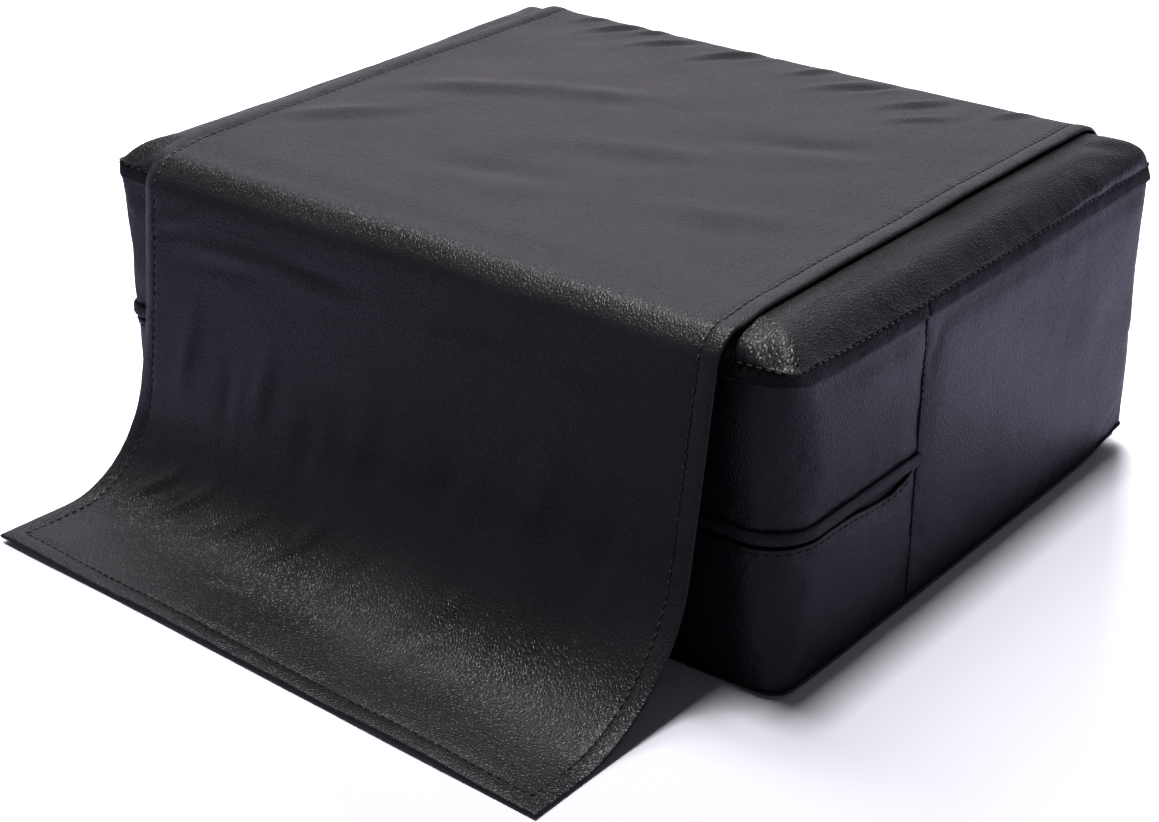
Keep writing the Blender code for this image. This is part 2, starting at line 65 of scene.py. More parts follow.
# ---- sizes read from the frame ----
HALF_X, HALF_Y, REAR_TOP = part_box("rear_boxing")[1]
SEAM_Z = REAR_TOP + 0.5 * MM
CROWN_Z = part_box("top_panel")[1].z
LOWER_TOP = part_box("front_lower_boxing")[1].z
SIDE_SEAM_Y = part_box("front_upper_boxing")[1].y
LIP_LOW, LIP_HIGH = (corner.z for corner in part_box("zip_lip_front"))
APRON_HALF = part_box("apron_seat_sheet")[1].x
APRON_TIP_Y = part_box("apron_toe_sheet")[0].y
JOINTS = {joint["name"]: joint for joint in frame["joints"]}

# ---- cover ----
CELL = 2.5 * MM                     # fine grid spacing
SHEET = 1.2 * MM
CORNER_ZONE = 28 * MM               # stretch each side of a corner where the sides curve
TOP_RADIUS = 5 * MM                 # corners of the top seam
SHOULDER_Z = SEAM_Z - 9 * MM        # the corners tighten towards the top seam above this
CORNER_RADII = {                    # at the shoulder, at mid height and at the bottom
    (1, 1): (5 * MM, 4 * MM, 3 * MM),
    (-1, 1): (6 * MM, 6 * MM, 4 * MM),
    (-1, -1): (6 * MM, 11 * MM, 8 * MM),
    (1, -1): (17 * MM, 26 * MM, 11 * MM),
}
EDGE_ROLL = 19 * MM                 # width of the top's rolled edge
EDGE_RISE = 14 * MM                 # and its rise above the seam
CORNER_LIFT = 2.8 * MM              # the seam rises towards both front corners
FLOOR_LIFT = 6 * MM                 # the bottom seam rises at the rear right corner
SEAM_GAP = 1.25 * MM                # from a side panel's level edge to its seam
BOTTOM_EDGE = 1.2 * MM
PANEL_TOP = SEAM_Z - 1 * MM
LAP_BOTTOM = SEAM_Z - 8.4 * MM
LOWER_EDGE = LOWER_TOP + 3.4 * MM   # the lower panel reaches up behind the lip
LOWER_STITCH = 5 * MM               # its stitching, below that edge
STITCH_PITCH = 5.2 * MM
STITCH_LENGTH = 3.5 * MM
THREAD_RADIUS = 0.52 * MM
ROLL_PROFILE = ((0.3, 0.15), (0.55, 0.5), (0.68, 1.1), (0.68, 3.2))   # mm: onwards, inwards
TUCK_PROFILE = ((0.8, 0.9), (2.2, 1.6))                               # mm: down, inwards
CUT_PROFILE = ((0.5, 0.1), (0.75, 0.45), (0.3, 1.2), (-0.5, 2.6))     # mm: down, inwards
BOTTOM_PROFILE = ((-3.0, 0.9), (0.2, 1.9), (0.75, 1.5), (0.9, 1.0), (0.6, 0.45), (-0.6, 0.15),
                  (-6.0, 0.0))                                        # mm: out, up

# ---- zip ----
LIP_TUCK = 1.3 * MM                 # the part of the lip's height hidden in the seam above
LIP_GAP = 2.3 * MM                  # the lip hangs this much short of its CAD height
LIP_CUT_X = 110 * MM                # the lip's fixed ends reach in to this from the side seams; its lifting run lies between
COIL_INSET = 1.4 * MM
COIL_PITCH = 1.5 * MM
COIL_RADIUS = 0.55 * MM
COIL_WIRE = 0.28 * MM
TURN_STEPS = 8

# ---- apron ----
HEM = 11 * MM
HEM_STITCH = 10.3 * MM
STITCH_X = APRON_HALF - HEM_STITCH
APRON_SHEET = 1.3 * MM
APRON_HEM_SHEET = 2.5 * MM
APRON_EDGE = 1.2 * MM               # how far the rounded edge stands beyond the flat sheet
BEND_START_Y = -177.6 * MM
UPPER_BEND = 8 * MM                 # the apron turns over the seat's edge in two bends
LOWER_BEND = 9 * MM
FACET_ANGLE = math.radians(40)
SEAT_CLEARANCE = 1.2 * MM
REAR_STAND_OFF = 0.9 * MM

DOWN = (0.0, 0.0, -1.0)


# ---- small maths ----

def smooth(value, low, high):
    """0 below low, 1 above high, smooth between."""
    share = np.clip((value - low) / (high - low), 0, 1)
    return share * share * (3 - 2 * share)


def bump(value, centre, width):
    """1 at the centre, falling off like a bell."""
    return np.exp(-((value - centre) / width) ** 2)


def noise(u, v, seed, size=64):
    """Smooth repeatable value noise over two coordinates, in -1..1."""
    table = np.random.default_rng(seed).uniform(-1, 1, (size, size))
    iu, iv = np.floor(u).astype(int), np.floor(v).astype(int)
    fu, fv = u - iu, v - iv
    fu = fu ** 3 * (fu * (6 * fu - 15) + 10)
    fv = fv ** 3 * (fv * (6 * fv - 15) + 10)

    def at(du, dv):
        return table[(iu + du) % size, (iv + dv) % size]

    low = at(0, 0) * (1 - fu) + at(1, 0) * fu
    high = at(0, 1) * (1 - fu) + at(1, 1) * fu
    return low * (1 - fv) + high * fv


def layered(u, v, seed, octaves=3):
    """Noise with finer, weaker noise on top."""
    return sum(noise(u * 2 ** k, v * 2 ** k, seed + k) / 2 ** k for k in range(octaves))


def unit(vectors):
    return vectors / np.maximum(np.linalg.norm(vectors, axis=-1, keepdims=True), 1e-12)


def grid_normals(grid):
    """Normals of a grid of points, along (next column) x (next row)."""
    return unit(np.cross(np.gradient(grid, axis=1), np.gradient(grid, axis=0)))


def run_lengths(points):
    """Distance along a path to each of its points."""
    steps = np.linalg.norm(np.diff(points, axis=0), axis=1)
    return np.concatenate([[0.0], np.cumsum(steps)])


def along_path(at, distance, values):
    """Values known at the path's points, read at other distances along it."""
    return np.stack([np.interp(at, distance, column) for column in values.T], axis=-1)


def nearest(values, wanted):
    return int(np.argmin(np.abs(values - wanted)))


def odd_count(length, spacing):
    """An odd number of points for a length, so that every second point keeps both ends."""
    return 2 * max(1, round(length / spacing / 2)) + 1


# ---- mesh building ----

def new_object(name, data):
    made = bpy.data.objects.new(name, data)
    bpy.context.scene.collection.objects.link(made)
    return made


def grid_object(name, grid, uv, materials, close_columns=False, material_rows=None):
    """A quad mesh over a grid of points, with a UV map in metres."""
    rows, columns = grid.shape[:2]
    index = np.arange(rows * columns).reshape(rows, columns)
    right = np.roll(index, -1, axis=1)
    if not close_columns:
        right = right[:, :-1]
    left = index[:, :right.shape[1]]
    quads = np.stack([left[:-1], right[:-1], right[1:], left[1:]], axis=-1).reshape(-1, 4)
    mesh = bpy.data.meshes.new(name)
    mesh.from_pydata(grid.reshape(-1, 3).tolist(), [], quads.tolist())
    corners = np.zeros(len(mesh.loops), np.int32)
    mesh.loops.foreach_get("vertex_index", corners)
    layer = mesh.uv_layers.new(name="sheet")
    layer.data.foreach_set("uv", uv.reshape(-1, 2)[corners].astype(np.float32).ravel())
    for item in materials:
        mesh.materials.append(item)
    if material_rows is not None:
        mesh.polygons.foreach_set("material_index", material_rows.astype(np.int32).ravel())
    mesh.shade_smooth()
    return new_object(name, mesh)


def modify(piece, kind, **settings):
    made = piece.modifiers.new(kind.lower(), kind)
    for key, value in settings.items():
        setattr(made, key, value)
    return made


def cover_sheet(name, grid, uv, finish):
    """A sheet of leatherette, thickened inwards."""
    piece = grid_object(name, grid, uv, [finish])
    modify(piece, "SOLIDIFY", thickness=SHEET, offset=-1, use_even_offset=False)
    return piece


def baked_mesh(piece):
    """The mesh that a piece's modifiers or curve settings make."""
    bpy.context.view_layer.update()
    return bpy.data.meshes.new_from_object(
        piece.evaluated_get(bpy.context.evaluated_depsgraph_get()))


def edit_mesh(piece, change, sharp_degrees=None):
    """Change a piece's mesh and turn its faces outwards; steeper edges than given stay sharp."""
    bm = bmesh.new()
    bm.from_mesh(piece.data)
    change(bm)
    bmesh.ops.recalc_face_normals(bm, faces=bm.faces)
    bm.to_mesh(piece.data)
    bm.free()
    if sharp_degrees:
        piece.data.set_sharp_from_angle(angle=math.radians(sharp_degrees))


def primitive(name, create, **settings):
    """An object holding one of bmesh's own shapes."""
    bm = bmesh.new()
    create(bm, **settings)
    mesh = bpy.data.meshes.new(name)
    bm.to_mesh(mesh)
    bm.free()
    return new_object(name, mesh)


def fill_holes(bm):
    bmesh.ops.holes_fill(bm, edges=[e for e in bm.edges if e.is_boundary], sides=0)


def extend(grid, normals, uv, side, profile, heading=None, uv_share=1.0):
    """Add rows beyond one edge of a sheet: mm onwards, or along a heading, and mm inwards."""
    axis = 0 if side in ("low", "high") else 1
    first = side in ("low", "start")
    edge, inner = (0, 1) if first else (-1, -2)

    def at(values, index):
        return np.take(values, [index], axis=axis)

    onwards = unit(at(grid, edge) - at(grid, inner)) if heading is None else np.array(heading)
    uv_onwards = unit(at(uv, edge) - at(uv, inner)) * uv_share
    normal = at(normals, edge)
    more = []
    for out_mm, in_mm in profile:
        point = at(grid, edge) + onwards * out_mm * MM - normal * in_mm * MM
        more.append((point, normal, at(uv, edge) + uv_onwards * (out_mm + in_mm) * MM))
    grown = []
    for number, values in enumerate((grid, normals, uv)):
        extra = [row[number] for row in more]
        parts = extra[::-1] + [values] if first else [values] + extra
        grown.append(np.concatenate(parts, axis=axis))
    return grown


def place(piece, slot, *nodes, body="cushion", blend=None):
    """Put a piece on a body, or leave it fixed where it is when it spans two, and hide the CAD
    nodes it stands for.
    """
    if blend:
        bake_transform(piece)
    else:
        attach(piece, body)
    if nodes:
        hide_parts(*nodes)


# ---- cloth ----

CLOTH = {"quality": 5, "mass": 0.25, "tension_stiffness": 25, "compression_stiffness": 15,
         "shear_stiffness": 8, "bending_stiffness": 0.4, "vertex_group_mass": "seams",
         "use_pressure": True}
CLOTH_FRAMES = 20


def billow(grid, pressure, slack, cap):
    """Cloth simulation of one sewn panel, pinned along its edges and blown from inside.

    Returns how far each point of the fine grid moves. The simulated mesh takes every
    second point of the grid.
    """
    coarse = grid[::2, ::2]
    rows, columns = coarse.shape[:2]
    panel = grid_object("billow", coarse, np.zeros((rows, columns, 2)), [])
    edge = np.ones((rows, columns), bool)
    edge[1:-1, 1:-1] = False
    pins = panel.vertex_groups.new(name=CLOTH["vertex_group_mass"])
    pins.add(np.flatnonzero(edge.ravel()).tolist(), 1.0, "REPLACE")
    cloth = modify(panel, "CLOTH")
    for key, value in CLOTH.items():
        setattr(cloth.settings, key, value)
    cloth.settings.shrink_min = -slack
    cloth.settings.uniform_pressure_force = pressure
    cloth.settings.effector_weights.gravity = 0
    cloth.point_cache.frame_start = 1
    cloth.point_cache.frame_end = CLOTH_FRAMES
    scene = bpy.context.scene
    for number in range(1, CLOTH_FRAMES + 1):
        scene.frame_set(number)
    evaluated = panel.evaluated_get(bpy.context.evaluated_depsgraph_get())
    after = np.zeros(rows * columns * 3, np.float32)
    evaluated.data.vertices.foreach_get("co", after)
    scene.frame_set(1)
    bpy.data.objects.remove(panel, do_unlink=True)
    moved = after.reshape(rows, columns, 3) - coarse
    length = np.linalg.norm(moved, axis=-1, keepdims=True)
    kept = np.where(length > 1e-9, cap * np.tanh(length / cap) / np.maximum(length, 1e-9), 0)
    return refine(moved * kept, grid.shape[:2])


def refine(coarse, shape):
    """Linear interpolation from a coarse grid to a finer one of the given shape."""
    rows = np.linspace(0, coarse.shape[0] - 1, shape[0])
    columns = np.linspace(0, coarse.shape[1] - 1, shape[1])
    r0 = np.minimum(rows.astype(int), coarse.shape[0] - 2)
    c0 = np.minimum(columns.astype(int), coarse.shape[1] - 2)
    fr = (rows - r0)[:, None, None]
    fc = (columns - c0)[None, :, None]

    def across(row):
        return coarse[row][:, c0] * (1 - fc) + coarse[row][:, c0 + 1] * fc

    return across(r0) * (1 - fr) + across(r0 + 1) * fr


# ---- outline of the sides ----

def corner_radius(z, corner):
    """Radius of one corner of the sides at one level."""
    shoulder, middle, bottom = CORNER_RADII[corner]
    mid_z = SEAM_Z / 2
    if z > SHOULDER_Z:
        share = min((z - SHOULDER_Z) / (SEAM_Z - SHOULDER_Z), 1.0)
        return shoulder + (TOP_RADIUS - shoulder) * share
    end_radius = shoulder if z > mid_z else bottom
    return middle + (end_radius - middle) * (abs(z - mid_z) / mid_z) ** 2


def corner_run(corner, z, out, count):
    """Points and normals round one corner, anticlockwise, from zone end to zone end."""
    radius = max(corner_radius(z, corner) + out, 0.5 * MM)
    straight = CORNER_ZONE + out - radius
    arc = radius * math.pi / 2
    centre = np.array(corner) * (np.array([HALF_X, HALF_Y]) + out - radius)
    start_angle = math.pi / 2 * list(CORNER_RADII).index(corner)
    points, normals = [], []
    for along in np.linspace(0, 2 * straight + arc, count):
        swept = min(max(along - straight, 0.0), arc) / radius
        angle = start_angle + swept
        normal = np.array([math.cos(angle), math.sin(angle)])
        tangent = np.array([-normal[1], normal[0]])
        leftover = along - straight - swept * radius
        points.append(centre + radius * normal + tangent * leftover)
        normals.append(normal)
    return points, normals


def straight_run(start, stop, normal):
    steps = np.linspace(0, 1, odd_count(math.dist(start, stop), CELL))[:, None]
    line = np.array(start) * (1 - steps) + np.array(stop) * steps
    return list(line), [np.array(normal)] * len(line)


def side_run(which, z, out=0.0, seam_gap=0.0):
    """One level of the rear or front sides, between the side seams, going anticlockwise.

    Returns points (n, 3) and normals (n, 3).
    """
    s = 1.0 if which == "rear" else -1.0
    half_x, half_y = s * (HALF_X + out), s * (HALF_Y + out)
    end_x, end_y = s * (HALF_X - CORNER_ZONE), s * (HALF_Y - CORNER_ZONE)
    seam = SIDE_SEAM_Y + s * seam_gap
    count = odd_count(2 * CORNER_ZONE, CELL)
    stretches = (
        straight_run((half_x, seam), (half_x, end_y), (s, 0.0)),
        corner_run((s, s), z, out, count),
        straight_run((end_x, half_y), (-end_x, half_y), (0.0, s)),
        corner_run((-s, s), z, out, count),
        straight_run((-half_x, end_y), (-half_x, seam), (-s, 0.0)),
    )
    points, normals = list(stretches[0][0]), list(stretches[0][1])
    for more_points, more_normals in stretches[1:]:
        points += more_points[1:]
        normals += more_normals[1:]
    rows = len(points)
    return (np.hstack([np.array(points), np.full((rows, 1), z)]),
            np.hstack([np.array(normals), np.zeros((rows, 1))]))


def seam_ring(z, out):
    """The whole outline at one level, once round."""
    rear, rear_normals = side_run("rear", z, out)
    front, front_normals = side_run("front", z, out)
    return np.vstack([rear[:-1], front[:-1]]), np.vstack([rear_normals[:-1], front_normals[:-1]])


def side_grid(which, levels, seam_gap):
    """Grid of a strip of the sides: rows go up, columns anticlockwise."""
    runs = [side_run(which, z, seam_gap=seam_gap) for z in levels]
    grid = np.array([points for points, _ in runs])
    normals = np.array([level_normals for _, level_normals in runs])
    along = np.broadcast_to(run_lengths(grid[len(levels) // 2]), grid.shape[:2])
    up = np.broadcast_to(np.array(levels)[:, None], grid.shape[:2])
    return grid, normals, along, up


def seam_lift(x, y):
    """How far the top seam rises near the front corners."""
    return CORNER_LIFT * bump(np.hypot(HALF_X - np.abs(x), HALF_Y + y), 0, 42 * MM)


def settle(grid):
    """Raise the bottom edge a little near the corners, most at the rear right."""
    x, y, z = grid[..., 0], grid[..., 1], grid[..., 2]
    lift = FLOOR_LIFT * bump(np.hypot(HALF_X - x, HALF_Y - y), 0, 34 * MM)
    lift = lift + 1.5 * MM * bump(np.hypot(HALF_X - np.abs(x), HALF_Y - np.abs(y)), 0, 25 * MM)
    raised = grid.copy()
    raised[..., 2] = z + lift * (1 - smooth(z, 0, 45 * MM))
    return raised


# ---- stitches ----

BEAD_RINGS = (                      # along the bead, share of its radius, sunk at the ends
    (-0.5, 0.15, 0.55), (-0.42, 0.75, 0.15), (-0.2, 1.0, 0.0),
    (0.2, 1.0, 0.0), (0.42, 0.75, 0.15), (0.5, 0.15, 0.55),
)
BEAD_SIDES = 6


def bead_verts(centre, tangent, normal, radius):
    """One ring of a bead of thread."""
    across = unit(np.cross(tangent, normal))
    for side in range(BEAD_SIDES):
        angle = 2 * math.pi * side / BEAD_SIDES
        yield tuple(centre + (across * math.cos(angle) + normal * math.sin(angle)) * radius)


def stitch_row(name, path, normals, pitch=STITCH_PITCH, length=STITCH_LENGTH,
               radius=THREAD_RADIUS, sink=0.1 * MM, closed=False):
    """A row of lockstitches lying on a path: one small rounded bead of thread for each."""
    if closed:
        path, normals = np.vstack([path, path[:1]]), np.vstack([normals, normals[:1]])
    distance = run_lengths(path)
    count = max(1, int(distance[-1] / pitch))
    nudge = 0.3 * MM
    verts, faces = [], []
    for number in range(count):
        middle = (number + 0.5) * distance[-1] / count
        start = len(verts)
        for share, swell, dip in BEAD_RINGS:
            at = middle + share * length
            normal = unit(along_path(at, distance, normals))
            tangent = unit(along_path(at + nudge, distance, path)
                           - along_path(at - nudge, distance, path))
            centre = along_path(at, distance, path) + normal * (radius * (1 - 2 * dip) - sink)
            verts += bead_verts(centre, tangent, normal, radius * swell)
        last = start + (len(BEAD_RINGS) - 1) * BEAD_SIDES
        for ring in range(start, last, BEAD_SIDES):
            for side in range(BEAD_SIDES):
                a, b = ring + side, ring + (side + 1) % BEAD_SIDES
                faces.append((a, b, b + BEAD_SIDES, a + BEAD_SIDES))
        faces.append([start + side for side in reversed(range(BEAD_SIDES))])
        faces.append([last + side for side in range(BEAD_SIDES)])
    mesh = bpy.data.meshes.new(name)
    mesh.from_pydata(verts, [], faces)
    mesh.materials.append(THREAD)
    mesh.shade_smooth()
    return new_object(name, mesh)


# ---- materials ----

def tint(colour, factor=1.0, more=0.0):
    """A colour made lighter or darker, as four channels."""
    return (*[min(1.0, channel * factor + more) for channel in colour], 1)


class Graph:
    """A short way to wire shader nodes."""

    def __init__(self, tree, coords="Object"):
        self.tree = tree
        self.coords = self.node("TexCoord", output=coords)

    def wire(self, socket, value):
        if isinstance(value, bpy.types.NodeSocket):
            self.tree.links.new(value, socket)
        else:
            socket.default_value = value

    def node(self, kind, inputs=None, output=0, **settings):
        """Add a node, fill its inputs and return one of its outputs."""
        made = self.tree.nodes.new("ShaderNode" + kind)
        for key, value in settings.items():
            setattr(made, key, value)
        for key, value in (inputs or {}).items():
            self.wire(made.inputs[key], value)
        return made.outputs[output]

    def math(self, operation, first, second):
        return self.node("Math", {0: first, 1: second}, operation=operation)

    def vector(self, operation, inputs, output="Vector"):
        return self.node("VectorMath", inputs, output, operation=operation)

    def weighted(self, *terms):
        """Sum of each value times its weight."""
        products = [self.math("MULTIPLY", value, weight) for value, weight in terms]
        total = products[0]
        for product in products[1:]:
            total = self.math("ADD", total, product)
        return total

    def ramp(self, value, low, high, to_low=0.0, to_high=1.0):
        """A smooth step, from to_low up to low to to_high from high on."""
        ends = {"Value": value, "From Min": low, "From Max": high, "To Min": to_low,
                "To Max": to_high}
        return self.node("MapRange", ends, "Result", interpolation_type="SMOOTHSTEP")

    def mix(self, factor, first, second):
        """Blend of two colours; inputs 6 and 7 and output 2 are the node's colour sockets."""
        return self.node("Mix", {0: factor, 6: first, 7: second}, 2, data_type="RGBA")

    def speckle(self, scale, detail, output="Fac", **more):
        inputs = {"Vector": self.coords, "Scale": scale, "Detail": detail, **more}
        return self.node("TexNoise", inputs, output)

    def bands(self, scale, distortion, axis):
        inputs = {"Vector": self.coords, "Scale": scale, "Distortion": distortion}
        return self.node("TexWave", inputs, "Fac", bands_direction=axis)

    def relief(self, height, distance, strength):
        inputs = {"Height": height, "Distance": distance, "Strength": strength}
        return self.node("Bump", inputs, "Normal")


def material(name, paint, colour, coords="Object", **settings):
    """A material whose surface inputs come from a function that paints its graph."""
    made = bpy.data.materials.new(name)
    made.use_nodes = True
    graph = Graph(made.node_tree, coords)
    surface = made.node_tree.nodes["Principled BSDF"]
    for key, value in paint(graph, colour, **settings).items():
        graph.wire(surface.inputs[key], value)
    return made


def grained(name, colour, **settings):
    """Leatherette whose grain follows the sheet."""
    return material(name, leatherette, colour, coords="UV", **settings)


def leatherette(g, colour, roughness=0.39, grain=1.6 * MM, depth=1.0, specular=0.5):
    """Embossed litchi grain: soft pebbles, longer along the sheet, with finer pores between, and
    painted shade darkening the valleys.
    """
    warp = g.speckle(260.0, 2.0, "Color")
    centred = g.vector("SUBTRACT", {0: warp, 1: (0.5, 0.5, 0.5)})
    shifted = g.vector("SCALE", {0: centred, "Scale": 1.1 * MM})
    bent = g.vector("ADD", {0: g.coords, 1: shifted})
    stretched = g.node("Mapping", {"Vector": bent, "Scale": (1 / grain, 0.55 / grain, 1 / grain)})
    from_valley = g.node("TexVoronoi", {"Vector": stretched, "Scale": 1.0}, "Distance",
                         feature="DISTANCE_TO_EDGE")
    pebbles = g.ramp(from_valley, 0.0, 0.34)
    # valley is 1 in the grain's valleys: it darkens the base colour there as painted shade in the
    # crevices, and roughens them.
    valley = g.ramp(from_valley, 0.0, 0.12, 1.0, 0.0)
    pores = g.speckle(2600.0, 2.0)
    creases = g.speckle(120.0, 4.0, Distortion=0.6)
    patches = g.speckle(14.0, 3.0)
    height = g.weighted((pebbles, 0.19), (pores, 0.05), (creases, 0.12))
    base = g.mix(g.ramp(patches, 0.3, 0.7), tint(colour), tint(colour, 1.35, 0.002))
    patchy = g.ramp(patches, 0.25, 0.75, roughness - 0.05, roughness + 0.06)
    return {"Base Color": g.mix(g.math("MULTIPLY", valley, 0.7), base, tint(colour, 0.45)),
            "Roughness": g.weighted((patchy, 1.0), (valley, 0.12)),
            "Normal": g.relief(height, 1.25 * MM, depth), "Specular IOR Level": specular}


def woven(g, colour, pitch=0.6 * MM):
    """Plain weave: crossed waves, for zip tape and the leatherette's cloth backing."""
    scale = 0.16 / pitch
    weave = g.math("MULTIPLY", g.bands(scale, 0.4, "X"), g.bands(scale, 0.4, "Z"))
    height = g.weighted((weave, 1.0), (g.speckle(900.0, 3.0), 0.4))
    return {"Base Color": g.mix(height, tint(colour, 0.8), tint(colour, 1.2)),
            "Roughness": 0.85, "Normal": g.relief(height, 0.1 * MM, 0.5), "Sheen Weight": 0.15}


def twisted_thread(g, colour):
    """Twisted polyester thread: fine slanted plies with a slight sheen."""
    plies = g.bands(420.0, 1.2, "DIAGONAL")
    return {"Base Color": g.mix(plies, tint(colour, 0.5), tint(colour, 1.8)),
            "Roughness": 0.5, "Normal": g.relief(plies, 0.1 * MM, 0.7), "Sheen Weight": 0.2}


def open_foam(g, colour):
    """Open-cell foam: small pits painted darker as shade in the cells, over a soft mottled colour.
    """
    pits = g.node("TexVoronoi", {"Vector": g.coords, "Scale": 700.0}, "Distance")
    mottle = g.ramp(g.speckle(18.0, 4.0), 0.3, 0.7)
    base = g.mix(mottle, tint(colour), tint(colour, 0.86))
    # The base colour darkens towards each pit: painted shade in the foam's cells.
    return {"Base Color": g.mix(g.ramp(pits, 0.0, 0.35, 0.5, 0.0), base, tint(colour, 0.5)),
            "Roughness": 0.95, "Normal": g.relief(pits, 0.6 * MM, 0.8)}


def lacquered_metal(g, colour):
    """Black lacquered zinc: faint orange peel, worn brighter where it is handled."""
    wear = g.speckle(300.0, 5.0)
    worn = g.ramp(wear, 0.58, 0.72)
    return {"Base Color": g.mix(worn, tint(colour), (0.25, 0.25, 0.26, 1)),
            "Metallic": g.ramp(wear, 0.58, 0.72, 0.6, 1.0),
            "Roughness": g.ramp(wear, 0.3, 0.7, 0.28, 0.45),
            "Normal": g.relief(g.speckle(1400.0, 2.0), 0.05 * MM, 0.4)}


def moulded_plastic(g, colour):
    """Nylon with a fine moulded texture."""
    fine = g.speckle(1800.0, 3.0)
    return {"Base Color": g.mix(fine, tint(colour), tint(colour, 1.6)),
            "Roughness": g.ramp(fine, 0.3, 0.7, 0.35, 0.5),
            "Normal": g.relief(fine, 0.05 * MM, 0.5)}


COVER_BLACK = (0.010, 0.0092, 0.0108)
COVER = grained("cover_grain", COVER_BLACK)
SIDES = grained("side_grain", COVER_BLACK, depth=0.6)
APRON = grained("apron_grain", (0.010, 0.0093, 0.0112), grain=1.3 * MM, depth=0.75)
# The lap's leatherette is a darker, less glossy copy of the cover's: painted shade on the
# turned-down strip.
LAP_SHADED = grained("lap_grain_shaded", (0.009, 0.0085, 0.0095), roughness=0.5, depth=0.6, specular=0.22)
LIP = grained("lip_grain", (0.011, 0.0105, 0.0115), roughness=0.5, depth=0.7)
TAB = material("tab_grain", leatherette, COVER_BLACK)
# The lap's raw cut edge, painted near-black, far darker than the cloth backing: partly the cut
# edge, partly a painted shadow line under the lap.
CUT_EDGE_SHADOW = material("cut_edge_shadow", woven, (0.003, 0.003, 0.003), pitch=0.4 * MM)
BACKING = material("cloth_backing", woven, (0.020, 0.020, 0.022), pitch=0.8 * MM)
TAPE = material("tape_weave", woven, (0.016, 0.016, 0.018))
THREAD = material("black_thread", twisted_thread, (0.012, 0.012, 0.014))
FIRM_FOAM = material("firm_foam_cells", open_foam, (0.80, 0.77, 0.68))
SOFT_FOAM = material("soft_foam_cells", open_foam, (0.72, 0.68, 0.55))
METAL = material("black_zinc", lacquered_metal, (0.02, 0.02, 0.022))
COIL = material("coil_nylon", moulded_plastic, (0.016, 0.016, 0.017))


# ---- cover: the sides ----

def pucker(along, distance, depth, seed):
    """Irregular gathers that run away from a stitched edge and fade out."""
    pattern = layered(along / (9 * MM), distance / (30 * MM), seed, 2)
    dimples = np.cos(2 * math.pi * along / STITCH_PITCH) * np.exp(-distance / (2.2 * MM)) * 0.25
    return depth * (pattern * np.exp(-distance / (9 * MM)) + dimples)


def lap_prominence(x):
    """The lap stands proud on the right and lies nearly flush on the left."""
    return 1 - 0.75 * smooth(-x, 40 * MM, 200 * MM)


def side_panel(which, low, high, waves, seed):
    """One panel of the sides, from its low to its high level, billowed and gathered."""
    rows = odd_count(high - low - 2 * SEAM_GAP, CELL)
    levels = np.linspace(low + SEAM_GAP, high - SEAM_GAP, rows)
    grid, normals, along, up = side_grid(which, levels, SEAM_GAP)
    free = 1 - smooth(up, LAP_BOTTOM - 16 * MM, LAP_BOTTOM)
    grid = grid + billow(grid, pressure=1.6, slack=0.004, cap=2.2 * MM) * free[..., None]
    from_side = np.minimum(along, along.max() - along)
    push = waves * layered(along / (70 * MM), up / (60 * MM), seed)
    push = push * smooth(up - low, 0, 20 * MM) * smooth(high - up, 0, 20 * MM)
    push = push + pucker(along, high - up, 0.45 * MM, seed + 5)
    push = push + pucker(along, up - low, 0.35 * MM, seed + 8)
    push = push + pucker(up, from_side, 0.3 * MM, seed + 11)
    behind_lap = smooth(up, LAP_BOTTOM - 1.5 * MM, LAP_BOTTOM + 1.0 * MM)
    push = push - 1.0 * MM * behind_lap * lap_prominence(grid[..., 0])
    return settle(grid + normals * push[..., None]), normals, along, up


def rolled_panel(name, grid, normals, along, up, rolls=("start", "end", "low")):
    """A side panel with its edges turned inwards, as at a seam."""
    uv = np.stack([along, up], axis=-1)
    for side in rolls:
        grid, normals, uv = extend(grid, normals, uv, side, ROLL_PROFILE)
    return cover_sheet(name, grid, uv, SIDES)


def opening_sag(near):
    """How far the lower panel's top edge droops below the lip near each side seam."""
    closed = 1.5 * MM * (1 - smooth(near, 0.5 * MM, 5 * MM))
    return 5.6 * MM * bump(near, 27 * MM, 25 * MM) * smooth(near, 0, 10 * MM) - closed


def build_front_lower():
    """The panel below the zip, with its folded and stitched top edge."""
    grid, normals, along, up = side_panel("front", BOTTOM_EDGE, LOWER_EDGE, 0.7 * MM, 41)
    near = np.minimum(along, along.max() - along)
    share = (up - BOTTOM_EDGE) / (LOWER_EDGE - BOTTOM_EDGE)
    grid[..., 2] -= opening_sag(near) * share ** 3
    below = LOWER_EDGE - up
    fall_in = 0.9 * MM * bump(near, 26 * MM, 28 * MM) * bump(below, 0, 9 * MM)
    groove = 0.55 * MM * bump(below, LOWER_STITCH, 1.4 * MM)
    fold = 0.7 * MM * bump(below, 2.2 * MM, 1.8 * MM)
    grid = grid + normals * (fold - fall_in - groove)[..., None]
    panel = rolled_panel("front_lower_cover", grid, normals, along, up,
                         ("start", "end", "low", "high"))
    level = nearest(below[:, 0], LOWER_STITCH)
    stitches = stitch_row("lower_edge_stitches", grid[level, 2:-2], normals[level, 2:-2],
                          radius=0.38 * MM, sink=0.2 * MM)
    return panel, stitches


